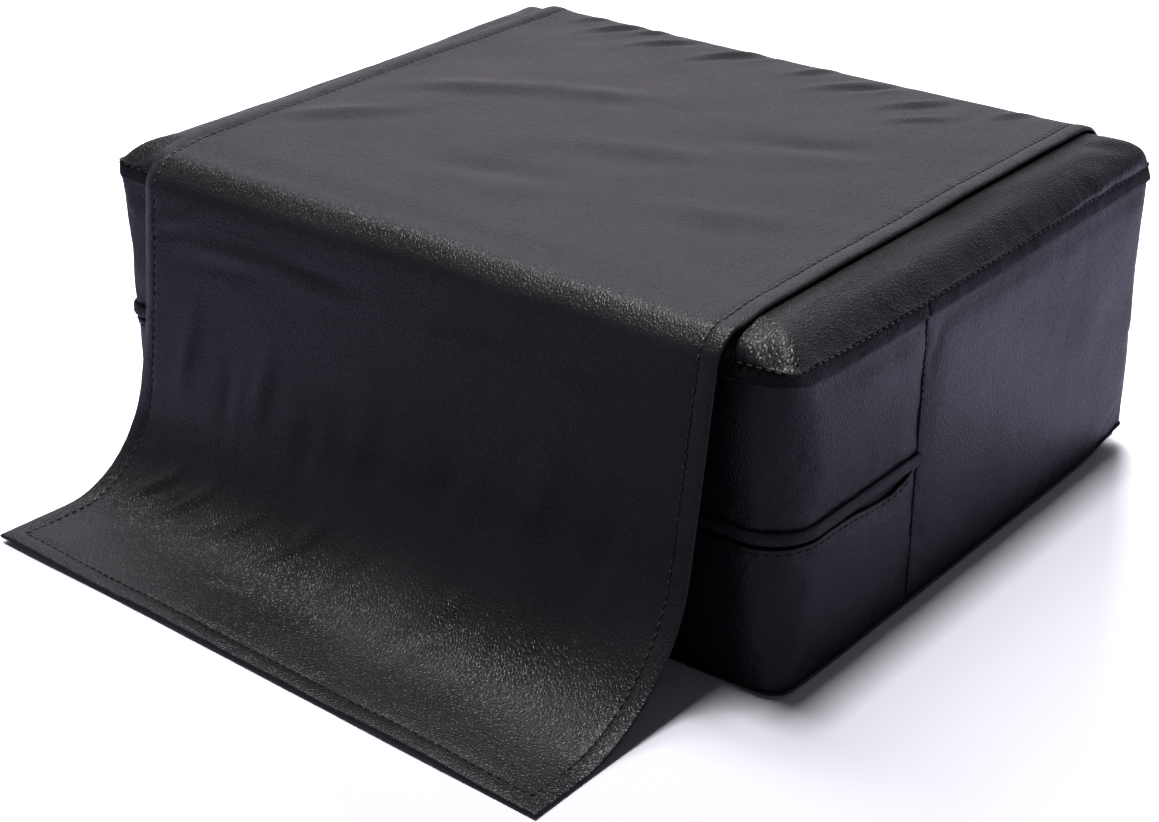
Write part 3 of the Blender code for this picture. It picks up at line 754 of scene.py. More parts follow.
def build_lap(which):
    """The top panel's edge turned down outside the sides: a narrow, slightly wavy strip, in
    leatherette darkened as painted shade, with its cut edge painted near-black as a shadow line.
    """
    levels = np.linspace(LAP_BOTTOM, SEAM_Z, 7)
    grid, normals, along, up = side_grid(which, levels, 0.7 * MM)
    phase = 2 * math.pi * along / (130 * MM)
    ripple = sum(size * np.sin(rate * phase + start)
                 for size, rate, start in ((1, 6.1, 0), (0.8, 9.7, 1), (0.7, 2.3, 2))) / 2
    hang = (SEAM_Z - up) / (SEAM_Z - LAP_BOTTOM)
    stand = (2.2 * hang - 1.0 + 0.3 * np.sin(hang * math.pi)) * lap_prominence(grid[..., 0])
    stand = stand + (ripple * 0.3 + 0.3) * hang - (1 - smooth(hang, 0.0, 0.16))
    grid = grid + normals * stand[..., None] * MM
    grid[..., 2] += seam_lift(grid[..., 0], grid[..., 1]) + ripple * 0.6 * MM * hang ** 2
    uv = np.stack([along, up], axis=-1)
    for side in ("start", "end"):
        grid, normals, uv = extend(grid, normals, uv, side, ROLL_PROFILE)
    grid, normals, uv = extend(grid, normals, uv, "low", CUT_PROFILE, DOWN)
    # Rows of the curled cut edge take the near-black material: the cut edge and a painted shadow
    # line.
    cut_edge_shadow_rows = np.zeros((grid.shape[0] - 1, grid.shape[1] - 1), int)
    cut_edge_shadow_rows[:len(CUT_PROFILE)] = 1
    return grid_object(f"top_lap_{which}", grid, uv, [LAP_SHADED, CUT_EDGE_SHADOW], material_rows=cut_edge_shadow_rows)


def build_side_seam(side):
    """The thread that shows between the front and rear panels on one side."""
    heights = np.linspace(5 * MM, LAP_BOTTOM - 1.5 * MM, 40)
    path = np.array([(side * (HALF_X - 0.5 * MM), SIDE_SEAM_Y, z) for z in heights])
    normals = np.tile([float(side), 0.0, 0.0], (len(heights), 1))
    name = "side_seam_stitches_" + ("right" if side > 0 else "left")
    return stitch_row(name, path, normals, pitch=4.2 * MM, length=3.9 * MM, radius=0.62 * MM)


# ---- cover: top and bottom ----

def roll_profile(distance, fullness=0.0):
    """0 at the seam, 1 once the roll has levelled out; a fuller roll stands up more steeply."""
    share = np.clip(distance / EDGE_ROLL, 0, 1)
    gentle = 1 - (1 - share) ** 2.1
    full = (1 - (1 - share) ** 3) ** (1 / 3)
    return gentle + (full - gentle) * fullness


def crown(x, y):
    """Height of the top panel above any point of the seat."""
    over_x = np.clip(1 - (HALF_X - np.abs(x)) / EDGE_ROLL, 0, None)
    over_y = np.clip(1 - (HALF_Y - np.abs(y)) / EDGE_ROLL, 0, None)
    over = (over_x ** 4 + over_y ** 4) ** 0.25
    fullness = np.maximum(0.75 * smooth(y, 20 * MM, 150 * MM),
                          smooth(HALF_X - np.abs(x), 16 * MM, 38 * MM))
    lift = seam_lift(x, y)
    edge = (EDGE_RISE - 0.9 * lift) * roll_profile((1 - over) * EDGE_ROLL, fullness)
    middle = np.clip((1 - (x / HALF_X) ** 2) * (1 - (y / HALF_Y) ** 2), 0, 1)
    return SEAM_Z + lift + edge + (CROWN_Z - SEAM_Z - EDGE_RISE) * middle


def top_axis(half):
    """Positions across the top: even in the middle, close together on the rolled edges."""
    inner = half - EDGE_ROLL
    middle = np.linspace(-inner, inner, odd_count(2 * inner, CELL))
    rolled = inner + EDGE_ROLL * np.sin(np.linspace(0, math.pi / 2, 11)[1:])
    return np.concatenate([-rolled[::-1], middle, rolled])


def round_corners(x, y):
    """Move the square corners of a grid onto the top seam's rounded outline."""
    flat_x, flat_y = HALF_X - TOP_RADIUS, HALF_Y - TOP_RADIUS
    a = np.clip((np.abs(x) - flat_x) / TOP_RADIUS, 0, 1)
    b = np.clip((np.abs(y) - flat_y) / TOP_RADIUS, 0, 1)
    both = (a > 0) & (b > 0)
    new_x = np.sign(x) * (flat_x + TOP_RADIUS * a * np.sqrt(1 - b * b / 2))
    new_y = np.sign(y) * (flat_y + TOP_RADIUS * b * np.sqrt(1 - a * a / 2))
    return np.where(both, new_x, x), np.where(both, new_y, y)


def build_top():
    """The crowned top panel, its edge carried down and in behind the lap."""
    y, x = np.meshgrid(top_axis(HALF_Y), top_axis(HALF_X), indexing="ij")
    grid = np.stack([*round_corners(x, y), crown(x, y)], axis=-1)
    grid = grid + billow(grid, pressure=1.2, slack=0.003, cap=1.6 * MM)
    normals = grid_normals(grid)
    from_x, from_y = HALF_X - np.abs(x), HALF_Y - np.abs(y)
    from_edge = np.minimum(from_x, from_y)
    push = 0.5 * MM * layered(x / (60 * MM), y / (60 * MM), 51) * smooth(from_edge, 0, 30 * MM)
    push = push + pucker(np.where(from_x < from_y, y, x), from_edge, 0.4 * MM, 55)
    grid = grid + normals * push[..., None]
    grid[..., 2] = np.minimum(grid[..., 2], crown(x, y) + 1.2 * MM)
    near = 0.1 * MM
    outward = unit(np.stack([np.where(from_x < near, np.sign(x), 0),
                             np.where(from_y < near, np.sign(y), 0), np.zeros_like(x)], axis=-1))
    normals = np.where(from_edge[..., None] < near, outward, normals)
    uv = np.stack([x, y], axis=-1)
    for side in ("low", "high", "start", "end"):
        grid, normals, uv = extend(grid, normals, uv, side, TUCK_PROFILE, DOWN, uv_share=0.0)
    return cover_sheet("top_cover", grid, uv, COVER)


def build_top_stitches():
    path, normals = seam_ring(SEAM_Z - 0.8 * MM, -0.1 * MM)
    path[:, 2] += seam_lift(path[:, 0], path[:, 1])
    return stitch_row("top_seam_stitches", path, normals, radius=0.42 * MM, sink=0.2 * MM,
                      closed=True)


def build_bottom():
    """Bottom panel with a thin rolled seam allowance that shows as a dark line."""
    rings = [seam_ring(z_mm * MM, out_mm * MM)[0] for out_mm, z_mm in BOTTOM_PROFILE]
    inner = [rings[-1] * np.array([share, share, 1.0]) for share in (0.75, 0.5, 0.25)]
    cap = rings[0] * np.array([0.9, 0.9, 1.0])
    grid = settle(np.array([cap, *rings, *inner])[::-1])
    panel = grid_object("bottom_cover", grid, grid[..., :2], [COVER], close_columns=True)
    edit_mesh(panel, fill_holes)
    return panel


def place_cover():
    leather, thread = "cover_leatherette", "sewing_thread"
    rear = rolled_panel("rear_cover", *side_panel("rear", BOTTOM_EDGE, PANEL_TOP, 0.8 * MM, 21))
    place(rear, leather, "rear_boxing")
    upper = side_panel("front", LIP_HIGH - 1.7 * MM, PANEL_TOP, 0.7 * MM, 31)
    place(rolled_panel("front_upper_cover", *upper), leather, "front_upper_boxing")
    lower, lower_stitches = build_front_lower()
    place(lower, leather, "front_lower_boxing")
    place(lower_stitches, thread, "lower_boxing_thread")
    place(build_top(), leather, "top_panel")
    for which in ("rear", "front"):
        place(build_lap(which), leather)
    place(build_top_stitches(), thread, "top_seam_thread")
    place(build_side_seam(-1), thread, "side_seam_thread_left")
    place(build_side_seam(1), thread, "side_seam_thread_right")
    place(build_bottom(), leather, "bottom_panel")


# ---- zip ----

def lip_section():
    """Cross-section of the folded lip: (out, up) in mm from its lower edge."""
    height = (LIP_HIGH - LIP_LOW - LIP_TUCK - LIP_GAP) / MM
    return np.array([(0.8, height), (1.3, height + 0.4), (2.0, height - 0.6),
                     (2.3, height * 0.6), (2.4, height * 0.25), (2.2, 0.6), (1.9, 0.0),
                     (1.45, 0.25), (1.3, 1.0), (1.15, height * 0.55), (0.85, height - 1.0)])


def lip_piece(name, points, normals, along):
    """Sweep the lip's section along a run of the front sides, slightly wavy at its lower edge."""
    section = lip_section()
    wave = 0.25 * MM * noise(along / (14 * MM), np.full(len(along), 0.5), 61)[:, None]
    sway = wave * (1 - section[:, 1] / 10)
    grid = points[:, None] + normals[:, None] * (section[:, 0] * MM + sway)[..., None]
    grid[..., 2] = LIP_LOW + LIP_GAP + section[:, 1] * MM + sway * 0.8
    around = run_lengths(section * MM)
    uv = np.stack(np.meshgrid(along, around, indexing="ij"), axis=-1)
    piece = grid_object(name, grid, uv, [LIP], close_columns=True)
    edit_mesh(piece, fill_holes, sharp_degrees=60)
    return piece


def build_lip():
    """The lip in three lengths: two fixed ends and, between them, the run that lifts."""
    points, normals = side_run("front", LIP_LOW, seam_gap=-1.2 * MM)
    along = run_lengths(points)
    on_front = np.abs(points[:, 1] + HALF_Y) < 0.1 * MM
    left_cut = np.flatnonzero(on_front & (points[:, 0] > -LIP_CUT_X))[0]
    right_cut = np.flatnonzero(on_front & (points[:, 0] > LIP_CUT_X))[0]
    hinge = JOINTS["zip_lip_lift"]["pos_m"]
    for which, side, first, last in (("left", -1, 0, left_cut), ("front", 0, left_cut, right_cut),
                                     ("right", 1, right_cut, len(points) - 1)):
        run = slice(first, last + 1)
        piece = lip_piece(f"zip_lip_{which}_cover", points[run], normals[run], along[run])
        corner, inner = [(side * x, *hinge[1:]) for x in (HALF_X - CORNER_ZONE, LIP_CUT_X)]
        place(piece, "lip_leatherette", f"zip_lip_{which}", body="zip_lip",
              blend=("cushion", "zip_lip", corner, inner) if side else None)


def build_coil(name, z, turn_way):
    """A nylon coil: one turn of wire for every tooth, all along the tape's edge."""
    points, normals = [values[2:-2] for values in side_run("front", z, out=-COIL_INSET)]
    distance = run_lengths(points)
    count = int(distance[-1] / COIL_PITCH) * TURN_STEPS
    at = np.linspace(0, distance[-1], count + 1)
    outward = unit(along_path(at, distance, normals))
    angle = turn_way * 2 * math.pi * np.arange(count + 1)[:, None] / TURN_STEPS
    swing = outward * np.cos(angle) - np.array(DOWN) * np.sin(angle)
    helix = along_path(at, distance, points) + swing * COIL_RADIUS
    curve = bpy.data.curves.new(name, "CURVE")
    for key, value in {"dimensions": "3D", "bevel_depth": COIL_WIRE, "bevel_resolution": 0,
                       "use_fill_caps": True}.items():
        setattr(curve, key, value)
    spline = curve.splines.new("POLY")
    spline.points.add(count)
    four_wide = np.hstack([helix, np.ones((count + 1, 1))])
    spline.points.foreach_set("co", four_wide.astype(np.float32).ravel())
    curve.materials.append(COIL)
    wire = new_object(name, curve)
    mesh = baked_mesh(wire)
    bpy.data.objects.remove(wire, do_unlink=True)
    return new_object(name, mesh)


def place_zip():
    build_lip()
    for node, turn_way in (("zip_coil_upper", 1), ("zip_coil_lower", -1)):
        low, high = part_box(node)
        place(build_coil(f"{node}_teeth", (low.z + high.z) / 2, turn_way), "zip_coil", node)


# ---- apron: its course ----

def bend(start, angle, stop_angle, radius, steps=9):
    """Points of a bend from one angle below level to another; negative radius bends up."""
    return [(start[0] - radius * (math.sin(heading) - math.sin(angle)),
             start[1] - radius * (math.cos(angle) - math.cos(heading)))
            for heading in np.linspace(angle, stop_angle, steps)[1:]]


def drop_path(share):
    """The apron's middle line in side view, for a place across it (0 left, 1 right).

    Returns (y, z) points from the rear seam to beyond the tip.
    """
    tilt = math.radians(6.0 + 3.5 * share)
    toe_radius = (58 + 27 * share) * MM
    facet = (10.5 - 3 * share) * MM
    points = [(HALF_Y + REAR_STAND_OFF, SEAM_Z + 1.0 * MM)]
    for distance in np.linspace(0.6 * MM, EDGE_ROLL, 10)[1:]:
        z = SEAM_Z + EDGE_RISE * roll_profile(distance) + SEAT_CLEARANCE
        points.append((HALF_Y - distance + REAR_STAND_OFF * (1 - distance / EDGE_ROLL), z))
    plateau = SEAM_Z + EDGE_RISE + SEAT_CLEARANCE
    points += [(y, plateau) for y in np.linspace(HALF_Y - EDGE_ROLL - 5 * MM, BEND_START_Y, 60)]
    points += bend(points[-1], 0.0, FACET_ANGLE, UPPER_BEND)
    points.append((points[-1][0] - facet * math.cos(FACET_ANGLE),
                   points[-1][1] - facet * math.sin(FACET_ANGLE)))
    points += bend(points[-1], FACET_ANGLE, math.pi / 2 - tilt, LOWER_BEND)
    floor = APRON_HEM_SHEET / 2 + 0.1 * MM
    line_y, line_z = points[-1]
    toe_z = floor + toe_radius - toe_radius * math.sin(tilt)
    toe_y = line_y - (line_z - toe_z) * math.tan(tilt)
    points += [(line_y + (toe_y - line_y) * step, line_z + (toe_z - line_z) * step)
               for step in np.linspace(0, 1, 24)[1:]]
    points += bend((toe_y, toe_z), math.pi / 2 - tilt, 0.0, -toe_radius, 40)
    points.append((points[-1][0] - 150 * MM, floor))
    return np.array(points)


RIGHT_PATH = drop_path(1.0)


def path_length_to(path, y):
    return np.interp(-y, -path[:, 0], run_lengths(path))


APRON_TIP = path_length_to(RIGHT_PATH, APRON_TIP_Y)


def soften(values, rounds):
    """Smooth a grid from row to row, keeping both ends."""
    for _ in range(rounds):
        inner = (values[:-2] + 2 * values[1:-1] + values[2:]) / 4
        values = np.concatenate([values[:1], inner, values[-1:]], axis=0)
    return values


def apron_surface(x, s):
    """Middle surface of the apron, before its folds, for grids of places across and along."""
    along = s[:, 0]
    grid = np.zeros((*x.shape, 3))
    grid[..., 0] = x
    for column, place_x in enumerate(x[0]):
        path = drop_path((place_x + APRON_HALF) / (2 * APRON_HALF))
        grid[:, column, 1:] = along_path(along, run_lengths(path), path)
    grid[..., 1:] = soften(grid[..., 1:], 2)
    bend_s = path_length_to(drop_path(0.0), BEND_START_Y)
    hanging = smooth(s, bend_s - 22 * MM, bend_s + 16 * MM)
    hanging = hanging * (1 - smooth(s, bend_s + 95 * MM, bend_s + 170 * MM))
    reach = smooth(s, bend_s + 150 * MM, bend_s + 210 * MM)
    grid[..., 0] += hanging * 4.2 * MM * smooth(-x, 140 * MM, APRON_HALF)
    left_x = -grid[..., 0]
    grid[..., 1] += hanging * 4.5 * MM * smooth(left_x, 176 * MM, APRON_HALF)
    grid[..., 1] -= reach * 1.6 * MM * smooth(left_x, 60 * MM, APRON_HALF)
    y = grid[..., 1]
    rise = crown(-left_x, np.clip(y, -HALF_Y, HALF_Y)) - (SEAM_Z + EDGE_RISE)
    over_seat = smooth(y, -HALF_Y + 2 * MM, -HALF_Y + 30 * MM) * smooth(HALF_Y - y, 6 * MM, 30 * MM)
    grid[..., 2] += np.clip(rise, 0, None) * over_seat
    return grid


# ---- apron: folds and thickness ----

# Place across and along from the rear seam (mm), turn from lengthwise (degrees),
# length, width and height (mm).
FOLDS = (
    (-150, 22, 22, 26, 5.0, 0.8), (-128, 30, 25, 34, 5.5, 1.0), (-104, 24, 20, 30, 5.0, 0.9),
    (-86, 40, 28, 34, 6.0, 0.8), (-40, 34, 24, 40, 6.0, 1.1), (-22, 28, 18, 30, 5.0, -0.7),
    (18, 30, 20, 30, 6.0, 0.7), (46, 44, 26, 36, 7.0, 0.7), (66, 34, 22, 30, 6.0, -0.6),
    (96, 48, 26, 34, 7.0, 0.7), (112, 70, 30, 30, 7.0, 0.5), (150, 26, 18, 26, 6.0, 0.6),
    (-60, 150, 60, 60, 16.0, 0.8), (-120, 180, 52, 55, 14.0, 0.9), (20, 210, 66, 60, 18.0, 0.7),
    (90, 150, 58, 55, 16.0, -0.7), (-20, 280, 70, 60, 18.0, -0.8), (-150, 260, 40, 50, 12.0, 0.9),
    (110, 260, 62, 55, 18.0, 0.7),
    (-168, 402, 58, 30, 6.0, 1.0), (-120, 410, 78, 50, 7.0, 0.9), (-60, 404, 84, 50, 8.0, -0.8),
    (60, 408, 82, 60, 8.0, -0.7), (120, 404, 84, 40, 7.0, 0.8),
    (-150, 470, 6, 34, 9.0, 1.2), (-118, 488, -4, 30, 9.0, -1.0), (-92, 478, 3, 36, 10.0, 1.1),
    (-58, 500, -6, 34, 12.0, -0.9), (-20, 486, 4, 40, 13.0, 0.8), (40, 492, -5, 38, 14.0, -0.8),
    (100, 480, 5, 40, 14.0, 0.9), (140, 500, -3, 34, 12.0, -0.8),
    (-152, 552, 26, 26, 5.0, 1.3), (-136, 560, 30, 22, 4.5, -1.0), (-124, 554, 24, 26, 5.0, 1.2),
    (-106, 566, 30, 22, 5.0, 0.8), (-84, 556, 20, 26, 6.0, 0.9), (-40, 548, 12, 28, 7.0, 0.9),
    (-4, 556, 16, 24, 7.0, -0.8), (60, 556, 14, 34, 9.0, 1.0), (-60, 590, 60, 24, 6.0, 0.5),
)


def fold_height(x, s):
    """Sum of the soft folds, in metres, over the sheet's own coordinates."""
    total = np.zeros_like(s)
    for across_mm, along_mm, degrees, *size in FOLDS:
        length, width, height = [value * MM for value in size]
        dx, ds = x - across_mm * MM, s - along_mm * MM
        cos, sin = math.cos(math.radians(degrees)), math.sin(math.radians(degrees))
        lengthwise = ds * cos - dx * sin
        sideways = dx * cos + ds * sin + 3.5 * MM * np.sin(lengthwise / length * 2.2)
        ridge = bump(sideways, 0, width * 0.6)
        hollow = 0.5 * bump(sideways, width * 1.1, width * 0.7)
        total += height * bump(lengthwise, 0, length * 0.6) * (ridge - hollow)
    calm = smooth(APRON_HALF - np.abs(x), 6 * MM, 26 * MM)
    return total * (0.25 + 0.75 * calm) * smooth(s, 10 * MM, 34 * MM)


def sheet_push(x, s, y):
    """How far the apron's surface stands off its middle course: folds, lifted edges and hems."""
    on_seat = smooth(y, -HALF_Y + 8 * MM, -HALF_Y + 30 * MM)
    from_side, from_tip = APRON_HALF - np.abs(x), APRON_TIP - s
    from_edge = np.minimum(from_side, from_tip)
    push = fold_height(x, s) * (1.5 + 0.3 * on_seat)
    push = push + 0.35 * MM * layered(x / (48 * MM), s / (60 * MM), 71) + on_seat * 0.9 * MM
    edge_lift = smooth(np.abs(x), APRON_HALF - 20 * MM, APRON_HALF) * on_seat
    push = push + edge_lift * (1.0 + 0.5 * noise(s / (40 * MM), x / (90 * MM), 73)) * MM
    tip_wave = 0.7 * MM * (1 + layered(x / (55 * MM), s * 0, 75))
    push = push + tip_wave * smooth(s, APRON_TIP - 60 * MM, APRON_TIP)
    along_hem = np.where(from_side < from_tip, s, x)
    groove = -0.75 * MM * bump(from_edge, HEM_STITCH, 1.3 * MM)
    dimples = 0.12 * MM * np.cos(2 * math.pi * along_hem / STITCH_PITCH)
    gathers = 0.3 * MM * layered(along_hem / (8 * MM), from_edge / (25 * MM), 77, 2)
    puff = 0.25 * MM * bump(from_edge, HEM / 2, 3.5 * MM)
    return (push + groove + dimples * bump(from_edge, HEM_STITCH, 2.5 * MM)
            + gathers * bump(from_edge, HEM_STITCH, 8 * MM) + puff)


def upward_normals(grid):
    """Normals of the apron's grid, upwards where it lies on the seat."""
    normals = grid_normals(grid)
    return normals * np.sign(normals[len(grid) // 3, grid.shape[1] // 2, 2])


class ApronSheet:
    """The whole draped sheet: upper and lower faces over grids of places across and along."""

    def __init__(self):
        half, tip = APRON_HALF - APRON_EDGE, APRON_TIP - APRON_EDGE
        cross = [*np.linspace(-half, half, odd_count(2 * half, CELL)),
                 STITCH_X, -STITCH_X, APRON_HALF - HEM, HEM - APRON_HALF]
        along = [*np.linspace(0, tip, odd_count(tip, CELL)), APRON_TIP - HEM_STITCH,
                 APRON_TIP - HEM]
        self.cross = np.unique(np.round(cross, 7))
        self.along = np.unique(np.round(along, 7))
        s, x = np.meshgrid(self.along, self.cross, indexing="ij")
        course = apron_surface(x, s)
        push = sheet_push(x, s, course[..., 1])
        middle = course + upward_normals(course) * push[..., None]
        middle[..., 2] = np.maximum(middle[..., 2], APRON_HEM_SHEET / 2 + 0.05 * MM)
        self.normals = upward_normals(middle)
        from_edge = np.minimum(APRON_HALF - np.abs(x), APRON_TIP - s)
        hem = 1 - smooth(from_edge, HEM, HEM + 1.2 * MM)
        thickness = APRON_SHEET + (APRON_HEM_SHEET - APRON_SHEET) * hem
        self.top = middle + self.normals * (APRON_HEM_SHEET / 2)
        self.bottom = self.top - self.normals * thickness[..., None]


# ---- apron: pieces ----

def rounded_edge(start, stop, sideways):
    """Half-round edge from one face of the sheet to the other."""
    ring = []
    for share in (0.12, 0.3, 0.5, 0.7, 0.88):
        bulge = math.sin(math.pi * share) ** 0.6
        ring.append(start * (1 - share) + stop * share + sideways * APRON_EDGE * bulge)
    return np.concatenate(ring, axis=1)


def round_tip(top, bottom, along):
    """Close the free end of the sheet with a rounded fold."""
    forward = unit(top[-1:] - top[-2:-1]) * APRON_EDGE
    centre, reach = (top[-1:] + bottom[-1:]) / 2, (top[-1:] - bottom[-1:]) / 2
    tops, bottoms = [top], [bottom]
    for angle in (math.radians(degrees) for degrees in (30, 60, 82)):
        tops.append(centre + reach * math.cos(angle) + forward * math.sin(angle))
        bottoms.append(centre - reach * math.cos(angle) + forward * math.sin(angle))
    extra = along[-1] + APRON_EDGE * np.array([0.5, 0.85, 1.0])
    return np.concatenate(tops), np.concatenate(bottoms), np.concatenate([along, extra])


def cap_ends(bm, rows, total, columns, edge_count):
    """Close both ends of the loft with strips between its top and bottom faces."""
    bm.verts.ensure_lookup_table()
    left_edge = columns + edge_count + columns - 1
    for start in (0, (rows - 1) * total):
        loops = [(column, column + 1, left_edge - column - 1, left_edge - column)
                 for column in range(columns - 1)]
        loops.append(range(columns - 1, columns + edge_count + 1))
        loops.append([*range(left_edge, total), 0])
        for loop in loops:
            bm.faces.new([bm.verts[start + i] for i in loop])


def apron_piece(name, sheet, rows, free_end):
    """A closed length of the apron, with rounded long edges and a cloth back inside the hems."""
    top, bottom, along = sheet.top[rows], sheet.bottom[rows], sheet.along[rows]
    if free_end:
        top, bottom, along = round_tip(top, bottom, along)
    right = rounded_edge(top[:, -1:], bottom[:, -1:], unit(top[:, -1:] - top[:, -2:-1]))
    left = rounded_edge(bottom[:, :1], top[:, :1], unit(top[:, :1] - top[:, 1:2]))
    grid = np.concatenate([top, right, bottom[:, ::-1], left], axis=1)
    columns, edge_count, total = top.shape[1], right.shape[1], grid.shape[1]
    x = np.concatenate([sheet.cross, np.full(edge_count, sheet.cross[-1] + 0.6 * MM),
                        sheet.cross[::-1], np.full(edge_count, sheet.cross[0] - 0.6 * MM)])
    column = np.arange(total)
    back = (column >= columns + edge_count) & (column < total - edge_count)
    uv = np.stack(np.meshgrid(along, x + 1.0 * back, indexing="ij"), axis=-1)[..., ::-1]
    flat = back & (column < total - edge_count - 1)
    cloth = flat & (np.abs(x) < APRON_HALF - HEM - 0.5 * MM)
    before_hem = along[:-1] < APRON_TIP - HEM - 0.5 * MM
    piece = grid_object(name, grid, uv, [APRON, BACKING], close_columns=True,
                        material_rows=before_hem[:, None] & cloth[None, :])
    edit_mesh(piece, lambda bm: cap_ends(bm, len(grid), total, columns, edge_count), 50)
    return piece


def hinge_crossings():
    """For each length of the apron: its bodies, and two points either side of the hinge between
    them.
    """
    rear, front, toe = [Vector(JOINTS[name]["pos_m"]) for name in
                        ("apron_lift", "apron_front_swing", "apron_toe_bend")]
    return {
        "seat": ("cushion", "apron_seat", (0, HALF_Y - 3 * MM, rear.z),
                 (0, HALF_Y - 32 * MM, rear.z)),
        "front": ("apron_seat", "apron_front", (0, front.y + 10 * MM, front.z + 6 * MM),
                  (0, front.y - 8 * MM, front.z - 20 * MM)),
        "toe": ("apron_front", "apron_toe", (0, toe.y + 20 * MM, toe.z + 26 * MM),
                (0, toe.y - 26 * MM, toe.z - 18 * MM)),
    }


def hem_stitches(sheet, part, rows):
    """Names, CAD nodes, paths and normals of the stitching on one length of the apron."""
    left, right = nearest(sheet.cross, -STITCH_X), nearest(sheet.cross, STITCH_X)
    if part != "toe":
        return [(f"apron_{part}_stitches_{side}", f"apron_{part}_thread_{side}",
                 sheet.top[rows, column], sheet.normals[rows, column])
                for side, column in (("left", left), ("right", right))]
    last = nearest(sheet.along, APRON_TIP - HEM_STITCH)
    rows = slice(rows.start, last + 1)
    inside = np.abs(sheet.cross) < STITCH_X
    path, normals = [np.vstack([values[rows, left], values[last][inside],
                                values[rows, right][::-1]])
                     for values in (sheet.top, sheet.normals)]
    return [("apron_toe_stitches", "apron_toe_thread", path, normals)]


def place_apron():
    sheet = ApronSheet()
    seat_cut = nearest(sheet.along, path_length_to(RIGHT_PATH, 0.0))
    drop_cut = nearest(sheet.along, path_length_to(RIGHT_PATH, BEND_START_Y) + 85 * MM)
    cuts = (0, seat_cut, drop_cut, len(sheet.along) - 1)
    for (part, crossing), first, last in zip(hinge_crossings().items(), cuts[:-1], cuts[1:]):
        rows = slice(first, last + 1)
        piece = apron_piece(f"apron_{part}_cover", sheet, rows, part == "toe")
        place(piece, "apron_leatherette", f"apron_{part}_sheet", blend=crossing)
        for name, node, path, normals in hem_stitches(sheet, part, rows):
            place(stitch_row(name, path, normals), "sewing_thread", node, blend=crossing)


# ---- foam ----

def foam_block(name, low, high, radius, crown_rise, finish, seed):
    """A rounded foam block with slightly uneven faces and a domed top."""
    middle, size = (low + high) / 2, high - low
    block = primitive(name, bmesh.ops.create_cube, size=1.0)
    for vert in block.data.vertices:
        vert.co = vert.co * size + middle
    modify(block, "BEVEL", width=radius, segments=4, limit_method="NONE")
    modify(block, "REMESH", mode="VOXEL", voxel_size=6 * MM)
    mesh = baked_mesh(block)
    block.modifiers.clear()
    block.data = mesh
    points = np.zeros(len(mesh.vertices) * 3, np.float32)
    mesh.vertices.foreach_get("co", points)
    points = points.reshape(-1, 3).astype(float)
    local = (points - np.array(middle)) / (np.array(size) / 2)
    dome = np.clip(1 - local[:, 0] ** 4, 0, 1) * np.clip(1 - local[:, 1] ** 4, 0, 1)
    points[:, 2] += crown_rise * (dome - 1) * np.clip(local[:, 2], 0, None)
    wobble = layered(points[:, 0] / (40 * MM), (points[:, 1] + points[:, 2]) / (40 * MM), seed)
    points[:, :2] *= 1 - 0.004 * (1 + wobble[:, None])
    mesh.vertices.foreach_set("co", points.astype(np.float32).ravel())
    mesh.update()
    mesh.shade_smooth()
    mesh.materials.clear()
    mesh.materials.append(finish)
    return block


def place_foam():
    low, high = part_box("foam_core")
    core = foam_block("firm_foam_block", low, high, 12 * MM, 0.0, FIRM_FOAM, 81)
    place(core, "firm_foam", "foam_core")
    low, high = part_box("foam_topper")
    high.z -= 2 * MM
    topper = foam_block("soft_foam_layer", low, high, 8 * MM, 10 * MM, SOFT_FOAM, 83)
    place(topper, "soft_foam", "foam_topper")


# ---- CAD nodes that stay ----

CAD_FINISHES = {
    "zip_tape_upper": TAPE, "zip_tape_lower": TAPE, "zip_start_stop": METAL,
    "zip_end_stop": METAL, "zip_slider": METAL, "zip_pull_ring": METAL, "zip_pull_tab": TAB,
    "bottom_seam_thread": THREAD, "apron_rear_seam_thread": THREAD,
}
ROUNDED_EDGES = {"zip_slider": 0.25 * MM, "zip_pull_tab": 0.25 * MM, "zip_start_stop": 0.3 * MM,
                 "zip_end_stop": 0.3 * MM}


def finish_cad_nodes():
    for name, finish in CAD_FINISHES.items():
        materials = frame["nodes"][name].data.materials
        materials.clear()
        materials.append(finish)
    for name, width in ROUNDED_EDGES.items():
        modify(frame["nodes"][name], "BEVEL", width=width, segments=2)


# ---- studio ----

WALL_DIRECTION = Vector((-0.557, 0.70, 0.445))
WALL_COLOUR = (0.955, 0.90, 1.0)
ROOM_COLOUR = (0.12, 0.113, 0.135)
BACKDROP = (1.0, 0.995, 1.0, 1)
FLOOR_SEEN = (1.20, 1.20, 1.275, 1)
FLOOR_BOUNCE = (0.45, 0.42, 0.585, 1)
LAMP_COLOUR = (1.0, 0.985, 1.0)
AZIMUTH, ELEVATION = math.radians(38.44), math.radians(26.4)
CAMERA_TARGET = Vector((0.0633, -0.1289, 0.0860))
CAMERA_DISTANCE = 1.1425
LENS, SENSOR = 68.8, 36


